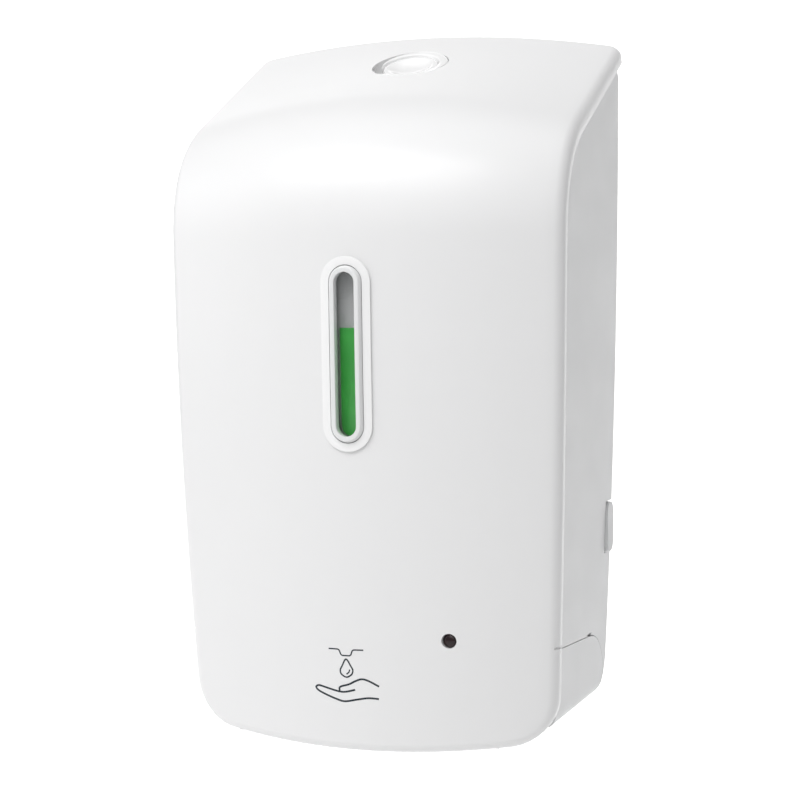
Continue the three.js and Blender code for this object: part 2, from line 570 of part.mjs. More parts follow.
// ---------- electronics ----------
const BOARD_Y = -74.5;
function controlBoard() {
  const board = block([14, BOARD_Y, 34.2], [57, BOARD_Y + 1.6, 60]);
  const chip = block([36, BOARD_Y - 1.4, 45], [46, BOARD_Y + 0.2, 52]);
  const plug = block([17, BOARD_Y + 1.4, 48], [29, BOARD_Y + 7, 55]);
  return join(board, chip, plug);
}
add('control_board', controlBoard(), finish('#1f6b45', 0.5));
add('status_led', turned([[0, 0], [2.4, 0], [2.4, 6], [1.7, 7.7], [0, 8.4]], 16).rotateX(Math.PI / 2)
  .translate(INDICATOR[0], BOARD_Y - 0.3, INDICATOR[1]), finish('#a3231f', 0.25));

add('sensor_board', block([13, PUMP_Y - 5, 20.5], [33, PUMP_Y + 5, 22.1]), finish('#1f6b45', 0.5));
[['ir_emitter', 18, '#9fb4d8'], ['ir_receiver', 28, '#121316']].forEach(([name, x, color]) =>
  add(name, turned([[0, 0], [2.5, 0], [2.5, 6], [1.8, 7.4], [0, 8]], 16).rotateX(Math.PI)
    .translate(x, PUMP_Y, 20.2), finish(color, 0.2)));
function sensorWindow() {
  return join(block([14.3, PUMP_Y - 4.2, 7.6], [31.7, PUMP_Y + 4.2, 10.5]),
    block([12.8, PUMP_Y - 5.7, 10.7], [33.2, PUMP_Y + 5.7, 11.5]),
    block([15, PUMP_Y - 3, 9], [31, PUMP_Y + 3, 11.5]));
}
add('sensor_window', sensorWindow(), blackPlastic());

// ---------- inner panel and power switch ----------
const SWITCH = { x: -30, z: 51, halfWidth: 7.5, halfHeight: 5 };
function innerPanel() {
  const sheet = common(coverLayer(7, 8.8), block([-54, -120, 14], [54, -60, 63]));
  const switchHole = block([SWITCH.x - SWITCH.halfWidth, -120, SWITCH.z - SWITCH.halfHeight],
    [SWITCH.x + SWITCH.halfWidth, -60, SWITCH.z + SWITCH.halfHeight]);
  return cut(sheet, switchHole, rod('y', 3, 40, [INDICATOR[0], -110, INDICATOR[1]]));
}
add('inner_panel', innerPanel(), whiteSatin());

const SWITCH_Y = -86;
function switchBody() {
  const [w, h] = [SWITCH.halfWidth - GAP, SWITCH.halfHeight - GAP];
  const outer = block([SWITCH.x - w, SWITCH_Y, SWITCH.z - h], [SWITCH.x + w, SWITCH_Y + 9, SWITCH.z + h]);
  const well = block([SWITCH.x - w + 1, SWITCH_Y - 1, SWITCH.z - h + 1],
    [SWITCH.x + w - 1, SWITCH_Y + 6, SWITCH.z + h - 1]);
  return cut(outer, well);
}
add('power_switch_body', switchBody(), blackPlastic());

const ROCKER_PIVOT_Y = SWITCH_Y + 3;
const ROCKER_TILT = 9 * Math.PI / 180;   // either way; it rests in the off position
function powerRocker() {
  const w = SWITCH.halfWidth - GAP - 1 - GAP;
  const shape = polygon([[SWITCH_Y - 0.2, -3.1], [SWITCH_Y + 0.6, 0], [SWITCH_Y - 0.2, 3.1],
    [ROCKER_PIVOT_Y - 0.5, 3.1], [ROCKER_PIVOT_Y + 1, 1.5], [ROCKER_PIVOT_Y + 1, -1.5],
    [ROCKER_PIVOT_Y - 0.5, -3.1]].reverse());
  return pushAcross(shape, SWITCH.x - w, SWITCH.x + w).translate(0, -ROCKER_PIVOT_Y, 0)
    .rotateX(-ROCKER_TILT).translate(0, ROCKER_PIVOT_Y, SWITCH.z);
}
add('power_rocker', powerRocker(), finish('#b3251f', 0.4));

// ---------- front cover ----------
// the obround opening of the sight window, grown by a margin
function windowShape(margin) {
  const [half, reach] = [WINDOW_HALF_WIDTH + margin, WINDOW_HALF_HEIGHT + margin];
  const shape = new THREE.Shape();
  shape.absarc(0, WINDOW_Z + reach - half, half, 0, Math.PI);
  shape.absarc(0, WINDOW_Z - reach + half, half, Math.PI, 2 * Math.PI);
  return shape;
}

function frontCover() {
  const outline = frontOutline(0, -0.3, COVER_CORNER, BOTTOM_SAG - 0.3);
  const skin = common(coverLayer(0, RIM_DEPTH), pushForward(outline, HOUSING_BACK, -120));
  const inner = frontOutline(COVER_WALL, COVER_WALL - 0.3, COVER_CORNER - COVER_WALL, BOTTOM_SAG - 0.3);
  const pocket = common(coverLayer(COVER_WALL, RIM_DEPTH + 2, COVER_WALL), pushForward(inner, -4, -120));
  const rimNotches = bothSides([65, -77.4, 35.6], [72, -73, 36.8]);
  const ears = HINGE_SPOTS.map(x => cut(
    join(rod('x', 4, 4, [x - 2, HINGE_Y, HINGE_Z]),
      common(block([x - 2, -92, HINGE_Z - 3.5], [x + 2, HINGE_Y, HINGE_Z + 3.5]), behindCover(COVER_WALL - 0.4))),
    rod('x', 1.8, 8, [x - 4, HINGE_Y, HINGE_Z], 16)));
  return cut(join(cut(skin, pocket), ...ears), pushForward(windowShape(-1.4), -60, -120),
    onRoof(rod('z', 13.9, 30, [0, 0, -15], 28)), rod('y', 2.5, 40, [INDICATOR[0], -110, INDICATOR[1]]),
    ...rimNotches);
}
add('front_cover', frontCover(), whiteGloss());

// the part of a layer under the cover's surface that lies inside the window's outline
const windowLayer = (outerDepth, innerDepth, margin) =>
  common(coverLayer(outerDepth, innerDepth), pushForward(windowShape(margin), -60, -125));

function windowBezel() {
  const ring = windowLayer(-0.7, -GAP, 0);
  const throat = windowLayer(-0.6, 5, -1.4 - GAP);
  const frame = windowLayer(-2.2, 1, FRAME_STEP);
  return cut(join(ring, throat, frame), windowLayer(0.9, 6, -3.4),
    pushForward(windowShape(SLOT_STEP), -60, -125));
}
add('window_bezel', windowBezel(), whiteGloss());
add('window_lens', windowLayer(1.2, 3.4, -3.7), finish('#c7d6cf', 0.08));
add('window_gasket', cut(windowLayer(3, 4.4, 1.2), pushForward(windowShape(-1.1), -60, -125)), rubber());
add('indicator_window', common(coverLayer(0.6, 3.6), rod('y', 2.2, 40, [INDICATOR[0], -110, INDICATOR[1]])),
  finish('#0c0c0e', 0.1));

// ---------- lock button and latch, built square to the roof ----------
function buttonBezel() {
  const cup = turned([[10.3, -0.8], [13.6, -0.8], [13.6, -3.5], [15.8, -3.5], [15.8, -5], [13.6, -5],
    [13.6, -16.5], [4.2, -16.5], [4.2, -15], [12.2, -15], [12.2, -6.5], [10.3, -6.5], [10.3, -0.8]]);
  const guide = cut(block([-8, -9, -29], [8, 9, -16]), block([-5.3, -15, -27.3], [5.3, 15, -23.7]),
    rod('z', 4.2, 20, [0, 0, -30]));
  return join(cup, guide);
}
add('button_bezel', buttonBezel(), whiteGloss(), roofFrame);

function lockButton() {
  const top = turned([[0, -2.2], [5.5, -1.9], [7, -1], [9.4, -1], [9.9, -1.5], [9.9, -6.9], [11.8, -6.9],
    [11.8, -8.2], [3.5, -8.2], [3.5, -25.5], [0, -25.5]]);
  const slope = BUTTON_TRAVEL / LATCH_TRAVEL;
  const wedge = polygon([[-4, -20.6], [3, -20.6 - 7 * slope], [3, -30], [-4, -30]].reverse());
  return cut(top, pushAcross(wedge, -6, 6));
}
add('lock_button', lockButton(), whiteGloss(), roofFrame);

function coilSpring(radius, wire, turns, height) {
  class Helix extends THREE.Curve {
    getPoint(t) {
      const angle = 2 * Math.PI * turns * t;
      return new THREE.Vector3(radius * Math.cos(angle), radius * Math.sin(angle), height * t);
    }
  }
  const section = new THREE.Shape();
  section.absarc(0, 0, wire / 2, 0, 2 * Math.PI);
  return new THREE.ExtrudeGeometry(section, { steps: Math.round(turns * 12), curveSegments: 3,
    bevelEnabled: false, extrudePath: new Helix() });
}
add('button_spring', coilSpring(6.6, 0.8, 4, 5.2).translate(0, 0, -14.3), steel(), roofFrame);

function latchSlider() {
  const bar = block([-5, -8, -27], [5, 11.5, -24]);
  const nose = pushAcross(polygon([[11, -27], [11, -24], [14, -24.6], [14, -25.6], [12.6, -27]].reverse()), -5, 5);
  return cut(join(bar, nose), block([-3.9, 0.15, -30], [3.9, 8.2, -20]));
}
add('latch_slider', latchSlider(), acetal(), roofFrame);

function catchSpring() {
  const foot = block([-9, -8, 198], [9, -6.5, 222]);
  const lip = onRoof(pushAcross(polygon([[11.6, -23.6], [17.5, -23.6], [17.5, -21.8], [11.6, -22.8]].reverse()), -7, 7));
  return join(foot, common(lip, block([-9, -30, 190], [9, -6.5, 240])));
}
add('catch_spring', catchSpring(), steel());

export default dispenser;
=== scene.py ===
"""Looks of the wall mounted soap dispenser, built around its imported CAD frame.

The outer form repeats the CAD's own formulas in millimetres, in the CAD's model coordinates
(height 0 at the cover's bottom edge), and place() turns them into metres in the row frame.
"""
import json
import math

import bmesh
import bpy
from mathutils import Matrix, Vector

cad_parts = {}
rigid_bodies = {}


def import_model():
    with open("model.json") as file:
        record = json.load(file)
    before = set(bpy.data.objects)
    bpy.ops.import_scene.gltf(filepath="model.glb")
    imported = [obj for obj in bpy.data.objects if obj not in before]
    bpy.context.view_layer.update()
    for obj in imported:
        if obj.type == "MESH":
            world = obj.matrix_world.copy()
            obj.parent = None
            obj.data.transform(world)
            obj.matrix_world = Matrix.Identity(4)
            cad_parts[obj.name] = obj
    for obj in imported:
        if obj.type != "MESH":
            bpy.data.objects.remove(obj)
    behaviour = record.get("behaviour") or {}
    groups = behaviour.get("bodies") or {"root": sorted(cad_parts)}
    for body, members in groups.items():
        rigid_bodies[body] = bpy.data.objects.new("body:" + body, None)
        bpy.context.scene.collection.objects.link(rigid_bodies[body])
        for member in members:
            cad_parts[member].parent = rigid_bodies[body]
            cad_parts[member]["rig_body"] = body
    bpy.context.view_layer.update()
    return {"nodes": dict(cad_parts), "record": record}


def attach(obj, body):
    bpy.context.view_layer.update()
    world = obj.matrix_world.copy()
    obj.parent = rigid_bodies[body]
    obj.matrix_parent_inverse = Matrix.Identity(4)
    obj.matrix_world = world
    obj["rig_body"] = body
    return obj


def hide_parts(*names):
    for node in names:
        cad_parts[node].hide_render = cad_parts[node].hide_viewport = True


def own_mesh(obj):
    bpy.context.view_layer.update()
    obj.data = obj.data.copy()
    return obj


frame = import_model()
CAD_SLOTS = {row["node"]: row["material_slot"] for row in frame["record"]["subparts"]}

MM = 0.001
MOUNT_HEIGHT = 128

# outer form, as in the CAD
TAPER_HEIGHT = 196.6
SHOULDER_START = 172
ROOF_FRONT = Vector((-62, 210))
ROOF_BACK = Vector((-0.8, 240))
FRONT_CROWN = 14.75
ROOF_CROWN = 6.6
BOTTOM_SAG = 1.8
COVER_CORNER = 16.8
COVER_WALL = 2.6
RIM_DEPTH = 5.5
EDGE_ROUNDING = 3.0
GAP = 0.3
SIDE_INSET = 1.85
WALL = 2.4
FLOOR_Z = 8
SKIRT_Z = 4.6  # the outer walls hang down past the floor
SKIRT_ROUNDING = 5
HOUSING_BACK = -0.5
HOUSING_TOP = 230.5
BACK_CORNER = 15
BUTTON_Y = -33.5
BUTTON_TRAVEL = 3
LATCH_TRAVEL = 4
WINDOW_Z = 131.4
WINDOW_HALF_HEIGHT = 32.4
WINDOW_HALF_WIDTH = 8.8
INDICATOR = (32.2, 36.4)
SOAP_LEVEL = 140
PUMP_Y = -63.5
HINGE_Y = -66
HINGE_Z = 3
HINGE_SPOTS = (-45, 45)
HINGE_EYE_RADIUS = 4.0
HINGE_BORE_RADIUS = 1.8
BUTTON_HOLE_RADIUS = 13.8
INDICATOR_HOLE_RADIUS = 2.5
ROOF_ANGLE = math.atan2(ROOF_BACK.y - ROOF_FRONT.y, ROOF_BACK.x - ROOF_FRONT.x)
BUTTON_Z = ROOF_FRONT.y + math.tan(ROOF_ANGLE) * (BUTTON_Y - ROOF_FRONT.x) + 8.6


def place(x, y, z):
    """A point of the CAD's model, in millimetres, as metres in the row frame."""
    return Vector((x * MM, y * MM, (z - MOUNT_HEIGHT) * MM))


def smoothstep(t):
    t = max(0.0, min(1.0, t))
    return t * t * (3 - 2 * t)


def taper(z):
    return max(0.0, (TAPER_HEIGHT - z) / TAPER_HEIGHT)


def half_width(z):
    return 70 - 0.62 * taper(z) - 4.4 * taper(z) ** 2


def edge_y(z):
    return -86.2 + 0.97 * taper(z) + 9.39 * taper(z) ** 2


# ---------- the cover's side profile, walked by its length from the bottom edge ----------
class Profile:
    def __init__(self):
        start = Vector((edge_y(SHOULDER_START), SHOULDER_START))
        slope = math.tan(ROOF_ANGLE)
        corner = Vector((start.x + 0.4, ROOF_FRONT.y + slope * (start.x + 0.4 - ROOF_FRONT.x)))
        steps = 400
        self.shoulder = []
        for i in range(steps + 1):
            u = i / steps
            point = (1 - u) ** 2 * start + 2 * u * (1 - u) * corner + u * u * ROOF_FRONT
            tangent = ((1 - u) * (corner - start) + u * (ROOF_FRONT - corner)).normalized()
            self.shoulder.append((u, point, tangent))
        self.lengths = [0.0]
        for before, after in zip(self.shoulder, self.shoulder[1:]):
            self.lengths.append(self.lengths[-1] + (after[1] - before[1]).length)
        self.roof_start = SHOULDER_START + self.lengths[-1]
        self.end = self.roof_start + (ROOF_BACK - ROOF_FRONT).length

    def at(self, s):
        """(y, z), the outward direction and the crown at a length along the profile."""
        if s <= SHOULDER_START:
            point = Vector((edge_y(s), s))
            tangent = Vector((edge_y(s + 0.5) - edge_y(s - 0.5), 1)).normalized()
            turn = 0.0
        elif s < self.roof_start:
            along = s - SHOULDER_START
            i = max(k for k, length in enumerate(self.lengths) if length <= along)
            i = min(i, len(self.lengths) - 2)
            share = (along - self.lengths[i]) / (self.lengths[i + 1] - self.lengths[i])
            low, high = self.shoulder[i], self.shoulder[i + 1]
            point = low[1].lerp(high[1], share)
            tangent = low[2].lerp(high[2], share).normalized()
            turn = 0.5 * (low[0] + share * (high[0] - low[0]))
        else:
            share = (s - self.roof_start) / (self.end - self.roof_start)
            point = ROOF_FRONT.lerp(ROOF_BACK, share)
            tangent = (ROOF_BACK - ROOF_FRONT).normalized()
            turn = 0.5 + 0.5 * share
        crown = FRONT_CROWN + (ROOF_CROWN - FRONT_CROWN) * smoothstep(turn)
        return point, Vector((-tangent.y, tangent.x)), crown


profile = Profile()


def on_cover(x, s, depth=0.0):
    """A point on the crowned surface of the cover, or at a depth under it."""
    point, out, crown = profile.at(s)
    rise = crown * (1 - (x / half_width(point.y)) ** 2) - depth
    return (x, point.x + out.x * rise, point.y + out.y * rise)


def front_y(x, z, depth=0.0):
    """The y of the crowned front at a width and height, on its upright stretch."""
    s = z
    for _ in range(4):
        s += z - on_cover(x, s, depth)[2]
    return on_cover(x, s, depth)[1]


# ---------- meshes ----------
def make_object(name, points, faces, smooth_angle=40):
    mesh = bpy.data.meshes.new(name)
    mesh.from_pydata([place(*p) for p in points], [], faces)
    return link_mesh(name, mesh, smooth_angle)


def link_mesh(name, mesh, smooth_angle=40):
    bm = bmesh.new()
    bm.from_mesh(mesh)
    bmesh.ops.remove_doubles(bm, verts=bm.verts, dist=2e-7)
    bmesh.ops.recalc_face_normals(bm, faces=bm.faces)
    bm.to_mesh(mesh)
    bm.free()
    obj = bpy.data.objects.new(name, mesh)
    bpy.context.scene.collection.objects.link(obj)
    shade(obj, smooth_angle)
    return obj


def shade(obj, smooth_angle=40):
    obj.data.shade_smooth()
    obj.data.set_sharp_from_angle(angle=math.radians(smooth_angle))


def finish_piece(obj, body, material, slot, *replaced):
    obj.data.materials.clear()
    obj.data.materials.append(material)
    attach(obj, body)
    if replaced:
        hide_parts(*replaced)
    return obj


def apply_modifiers(obj):
    bpy.context.view_layer.update()
    graph = bpy.context.evaluated_depsgraph_get()
    mesh = bpy.data.meshes.new_from_object(obj.evaluated_get(graph))
    obj.modifiers.clear()
    obj.data = mesh
    return obj


def boolean(obj, other, operation):
    modifier = obj.modifiers.new("cut", "BOOLEAN")
    modifier.operation = operation
    modifier.object = other
    modifier.solver = "EXACT"
    apply_modifiers(obj)
    bpy.data.objects.remove(other)
    return obj


def bevelled(obj, width, segments=3, angle=35, smooth_angle=35):
    modifier = obj.modifiers.new("edges", "BEVEL")
    modifier.width = width * MM
    modifier.segments = segments
    modifier.limit_method = "ANGLE"
    modifier.angle_limit = math.radians(angle)
    apply_modifiers(obj)
    shade(obj, smooth_angle)
    flatten = obj.modifiers.new("flat_faces", "WEIGHTED_NORMAL")
    flatten.keep_sharp = True
    return apply_modifiers(obj)


def loft(name, loops, caps=True, smooth_angle=40):
    """A closed skin over loops with the same number of points, capped or joined round to the first."""
    count = len(loops[0])
    points = [p for loop in loops for p in loop]
    faces = []
    spans = len(loops) - 1 if caps else len(loops)
    for k in range(spans):
        low, high = k * count, ((k + 1) % len(loops)) * count
        for i in range(count):
            j = (i + 1) % count
            faces.append((low + i, low + j, high + j, high + i))
    if caps:
        faces.append(tuple(range(count))[::-1])
        faces.append(tuple((len(loops) - 1) * count + i for i in range(count)))
    return make_object(name, points, faces, smooth_angle)


def block(name, low, high):
    corners = [(x, y, z) for z in (low[2], high[2]) for y in (low[1], high[1]) for x in (low[0], high[0])]
    faces = [(0, 2, 3, 1), (4, 5, 7, 6), (0, 1, 5, 4), (2, 6, 7, 3), (0, 4, 6, 2), (1, 3, 7, 5)]
    return make_object(name, corners, faces)


def prism(name, outline, axis, start, end):
    """An outline of (u, v) points pushed along one axis from start to end."""
    order = {"x": lambda u, v, w: (w, u, v), "y": lambda u, v, w: (u, w, v), "z": lambda u, v, w: (u, v, w)}
    loops = [[order[axis](u, v, w) for u, v in outline] for w in (start, end)]
    return loft(name, loops)


def circle(radius, centre=(0, 0), steps=64):
    return [(centre[0] + radius * math.cos(2 * math.pi * i / steps),
             centre[1] + radius * math.sin(2 * math.pi * i / steps)) for i in range(steps)]


def fillet(points, radius, steps=4):
    """A polyline's corners rounded, where they turn by more than a little."""
    rounded = [points[0]]
    for before, corner, after in zip(points, points[1:], points[2:]):
        corner, before, after = Vector(corner), Vector(before), Vector(after)
        reach = min(radius, (before - corner).length * 0.45, (after - corner).length * 0.45)
        start = corner + (before - corner).normalized() * reach
        end = corner + (after - corner).normalized() * reach
        for i in range(steps + 1):
            u = i / steps
            rounded.append(tuple((1 - u) ** 2 * start + 2 * u * (1 - u) * corner + u * u * end))
    return rounded + [points[-1]]


def turned(name, section, centre=(0, 0, 0), tilt=0.0, steps=72):
    """A section of (radius, height) points turned about an upright axis, then tilted about X."""
    turn = Matrix.Rotation(tilt, 3, "X")
    points, faces, rings = [], [], []
    for radius, height in section:
        if radius < 1e-6:
            rings.append([len(points)] * steps)
            points.append(turn @ Vector((0, 0, height)) + Vector(centre))
            continue
        rings.append(list(range(len(points), len(points) + steps)))
        for i in range(steps):
            angle = 2 * math.pi * i / steps
            point = Vector((radius * math.cos(angle), radius * math.sin(angle), height))
            points.append(turn @ point + Vector(centre))
    closed = section[0] == section[-1]
    pairs = list(zip(rings, rings[1:]))
    if closed:
        pairs[-1] = (rings[-2], rings[0])
    for low, high in pairs:
        for i in range(steps):
            j = (i + 1) % steps
            ring = [low[i], low[j], high[j], high[i]]
            corners = [v for k, v in enumerate(ring) if v not in ring[:k]]
            if len(corners) > 2:
                faces.append(corners)
    if closed:
        used = sorted({v for face in faces for v in face})
        renumber = {v: k for k, v in enumerate(used)}
        points = [points[v] for v in used]
        faces = [[renumber[v] for v in face] for face in faces]
    return make_object(name, points, faces, 35)


# ---------- materials ----------
class Shader:
    """A Principled material with a little procedural variation in colour, roughness and surface."""

    def __init__(self, name, color, roughness, metallic=0.0, **sockets):
        self.material = bpy.data.materials.new(name)
        self.material.use_nodes = True
        self.tree = self.material.node_tree
        self.base = self.tree.nodes["Principled BSDF"]
        self.base.inputs["Base Color"].default_value = (*color, 1)
        self.base.inputs["Roughness"].default_value = roughness
        self.base.inputs["Metallic"].default_value = metallic
        for socket, value in sockets.items():
            self.base.inputs[socket.replace("_", " ")].default_value = value
        self.color = color
        self.roughness = roughness
        self.where = self.tree.nodes.new("ShaderNodeTexCoord").outputs["Object"]

    def noise(self, scale, detail, stretch=None):
        source = self.where
        if stretch:
            mapping = self.tree.nodes.new("ShaderNodeMapping")
            mapping.inputs["Scale"].default_value = stretch
            self.tree.links.new(source, mapping.inputs["Vector"])
            source = mapping.outputs["Vector"]
        node = self.tree.nodes.new("ShaderNodeTexNoise")
        node.inputs["Scale"].default_value = scale
        node.inputs["Detail"].default_value = detail
        self.tree.links.new(source, node.inputs["Vector"])
        return node.outputs["Fac"]

    def ramp(self, value, low, high):
        node = self.tree.nodes.new("ShaderNodeMapRange")
        node.inputs["From Min"].default_value = 0.3
        node.inputs["From Max"].default_value = 0.7
        node.inputs["To Min"].default_value = low
        node.inputs["To Max"].default_value = high
        self.tree.links.new(value, node.inputs["Value"])
        return node.outputs["Result"]

    def vary_roughness(self, scale, amount, stretch=None):
        noise = self.noise(scale, 4, stretch)
        value = self.ramp(noise, self.roughness - amount, self.roughness + amount)
        self.tree.links.new(value, self.base.inputs["Roughness"])
        return self

    def vary_color(self, scale, other):
        mix = self.tree.nodes.new("ShaderNodeMix")
        mix.data_type = "RGBA"
        mix.inputs["A"].default_value = (*self.color, 1)
        mix.inputs["B"].default_value = (*other, 1)
        value = self.ramp(self.noise(scale, 3), 0, 1)
        self.tree.links.new(value, mix.inputs["Factor"])
        self.tree.links.new(mix.outputs["Result"], self.base.inputs["Base Color"])
        return self

    def grain(self, scale, height):
        """Fine bumps of a height in millimetres."""
        bump = self.tree.nodes.new("ShaderNodeBump")
        bump.inputs["Strength"].default_value = 1.0
        bump.inputs["Distance"].default_value = height * MM
        self.tree.links.new(self.noise(scale, 2), bump.inputs["Height"])
        self.tree.links.new(bump.outputs["Normal"], self.base.inputs["Normal"])
        return self


def build_materials():
    """Each material slot's finish."""
    m = {}
    m["white_gloss_abs"] = (Shader("white_gloss_abs", (0.865, 0.865, 0.868), 0.34, Specular_IOR_Level=0.5)
                            .vary_roughness(60, 0.03).vary_color(9, (0.855, 0.855, 0.86))
                            .grain(260, 0.004))
    m["white_satin_abs"] = (Shader("white_satin_abs", (0.78, 0.785, 0.79), 0.5)
                            .vary_roughness(90, 0.05).vary_color(12, (0.75, 0.755, 0.76))
                            .grain(1400, 0.012))
    m["housing_white"] = (Shader("housing_white", (0.8, 0.803, 0.808), 0.46)
                          .vary_roughness(80, 0.04).vary_color(10, (0.785, 0.79, 0.795))
                          .grain(1600, 0.01))
    m["window_white"] = (Shader("window_white", (0.96, 0.96, 0.962), 0.12,
                                Coat_Weight=0.5, Coat_Roughness=0.05)
                         .vary_roughness(90, 0.03).vary_color(14, (0.945, 0.945, 0.95)))
    m["window_frame"] = (Shader("window_frame", (0.83, 0.835, 0.84), 0.2,
                                Coat_Weight=0.4, Coat_Roughness=0.06)
                         .vary_roughness(90, 0.03).vary_color(14, (0.82, 0.825, 0.83)))
    m["clear_plastic"] = (Shader("clear_plastic", (0.93, 0.96, 0.95), 0.06,
                                 Transmission_Weight=1.0, IOR=1.46, Alpha=0.15)
                          .vary_roughness(40, 0.025).vary_color(12, (0.9, 0.94, 0.92)))
    m["tank_plastic"] = (Shader("tank_plastic", (0.8, 0.83, 0.82), 0.22, Alpha=0.4)
                         .vary_roughness(40, 0.05).vary_color(12, (0.76, 0.8, 0.78)))
    m["frosted_plastic"] = (Shader("frosted_plastic", (0.62, 0.625, 0.63), 0.3)
                            .vary_roughness(60, 0.05).vary_color(30, (0.52, 0.525, 0.53)))
    m["soap_green"] = (Shader("soap_green", (0.07, 0.5, 0.085), 0.16, Coat_Weight=0.3, Coat_Roughness=0.08)
                       .vary_color(160, (0.05, 0.4, 0.065)).vary_roughness(50, 0.04))
    m["blue_plastic"] = (Shader("blue_plastic", (0.05, 0.22, 0.45), 0.42)
                         .vary_color(25, (0.045, 0.2, 0.41)).vary_roughness(90, 0.05).grain(1500, 0.01))
    m["grey_plastic"] = (Shader("grey_plastic", (0.26, 0.28, 0.3), 0.5)
                         .vary_color(25, (0.23, 0.25, 0.27)).vary_roughness(90, 0.05).grain(1500, 0.015))
    m["dark_window"] = (Shader("dark_window", (0.004, 0.004, 0.005), 0.1,
                               Coat_Weight=0.15, Coat_Roughness=0.03)
                        .vary_color(300, (0.03, 0.006, 0.008)).vary_roughness(120, 0.02))
    m["black_plastic"] = (Shader("black_plastic", (0.014, 0.014, 0.015), 0.42)
                          .vary_color(40, (0.02, 0.02, 0.021)).vary_roughness(90, 0.05).grain(1500, 0.012))
    m["red_plastic"] = (Shader("red_plastic", (0.45, 0.02, 0.015), 0.3)
                        .vary_color(40, (0.38, 0.018, 0.014)).vary_roughness(90, 0.04))
    m["ir_lens"] = (Shader("ir_lens", (0.55, 0.66, 0.9), 0.08, Transmission_Weight=0.7, IOR=1.5)
                    .vary_color(60, (0.5, 0.6, 0.85)).vary_roughness(90, 0.03))
    m["rubber_seal"] = (Shader("rubber_seal", (0.025, 0.025, 0.027), 0.75)
                        .vary_color(60, (0.035, 0.035, 0.037)).vary_roughness(90, 0.07).grain(900, 0.02))
    m["silicone"] = (Shader("silicone", (0.72, 0.74, 0.72), 0.45,
                            Subsurface_Weight=0.3, Subsurface_Radius=(0.002, 0.002, 0.002))
                     .vary_color(60, (0.68, 0.7, 0.68)).vary_roughness(90, 0.06))
    m["steel"] = (Shader("steel", (0.56, 0.57, 0.59), 0.28, 1.0)
                  .vary_color(50, (0.5, 0.51, 0.53)).vary_roughness(900, 0.07, stretch=(0.1, 1, 1)))
    m["brass"] = (Shader("brass", (0.72, 0.52, 0.22), 0.3, 1.0)
                  .vary_color(50, (0.62, 0.44, 0.18)).vary_roughness(300, 0.08))
    m["acetal"] = (Shader("acetal", (0.84, 0.81, 0.7), 0.42,
                          Subsurface_Weight=0.2, Subsurface_Radius=(0.002, 0.002, 0.0015))
                   .vary_color(40, (0.8, 0.77, 0.67)).vary_roughness(90, 0.05))
    m["battery_sleeve"] = (Shader("battery_sleeve", (0.018, 0.09, 0.07), 0.28,
                                  Coat_Weight=0.4, Coat_Roughness=0.1)
                           .vary_color(30, (0.014, 0.07, 0.055)).vary_roughness(90, 0.05))
    m["circuit_board"] = (Shader("circuit_board", (0.012, 0.12, 0.05), 0.38)
                          .vary_color(420, (0.02, 0.2, 0.09)).vary_roughness(120, 0.06).grain(500, 0.02))
    m["print_ink"] = (Shader("print_ink", (0.012, 0.02, 0.028), 0.4)
                      .vary_color(200, (0.018, 0.027, 0.036)).vary_roughness(90, 0.05))
    return {name: shader.material for name, shader in m.items()}


MATERIALS = build_materials()


# ---------- front cover ----------
ROWS_CORNER = 10
COLUMNS = 56
BACK_PLAN_CORNER = 5.0


def cover_rows():
    """Each row of the cover's skin: its height along the profile and how it meets the edge."""
    rows = []
    for i in range(ROWS_CORNER + 1):
        rows.append(("bottom", math.pi / 2 * i / ROWS_CORNER))
    first, last = COVER_CORNER, profile.end - BACK_PLAN_CORNER
    lengths = [first + (SHOULDER_START - first) * i / 36 for i in range(1, 37)]
    lengths += [SHOULDER_START + (profile.roof_start - SHOULDER_START) * i / 34 for i in range(1, 35)]
    lengths += [profile.roof_start + (last - profile.roof_start) * i / 16 for i in range(1, 17)]
    rows += [("side", s) for s in lengths]
    rows += [("back", math.pi / 2 * i / 5) for i in range(1, 6)]
    return rows


def edge_at(row, inset):
    """The right-hand end of a row, at an inset from the cover's edge: (x, length along the profile)."""
    kind, value = row
    if kind == "bottom":
        centre = half_width(COVER_CORNER) - COVER_CORNER
        radius = COVER_CORNER - inset
        return centre + radius * math.sin(value), COVER_CORNER - radius * math.cos(value)
    if kind == "side":
        point = profile.at(value)[0]
        return half_width(point.y) - inset, value
    radius = BACK_PLAN_CORNER - inset
    x = half_width(240) - BACK_PLAN_CORNER + radius * math.cos(value)
    return x, profile.end - BACK_PLAN_CORNER + radius * math.sin(value)


def sag(x, s):
    """How far the bottom edge hangs in the middle, fading out upwards."""
    centre = half_width(COVER_CORNER) - COVER_CORNER
    return BOTTOM_SAG * max(0.0, 1 - (x / centre) ** 2) * max(0.0, 1 - s / COVER_CORNER)


def cover_skin(rows, inset, depth):
    """A grid of points over the whole cover, at an inset from its edges and a depth under its surface."""
    grid = []
    for row in rows:
        reach, s = edge_at(row, inset)
        line = []
        for j in range(COLUMNS + 1):
            x = reach * (2 * j / COLUMNS - 1)
            x, y, z = on_cover(x, s - sag(x, s), depth)
            line.append((x, min(y, HOUSING_BACK), z))
        grid.append(line)
    return grid


def perimeter(grid):
    """The points round the edge of a grid, anticlockwise from its bottom left."""
    bottom = grid[0]
    right = [line[-1] for line in grid[1:]]
    top = grid[-1][-2::-1]
    left = [line[0] for line in grid[-2:0:-1]]
    return bottom + right + top + left


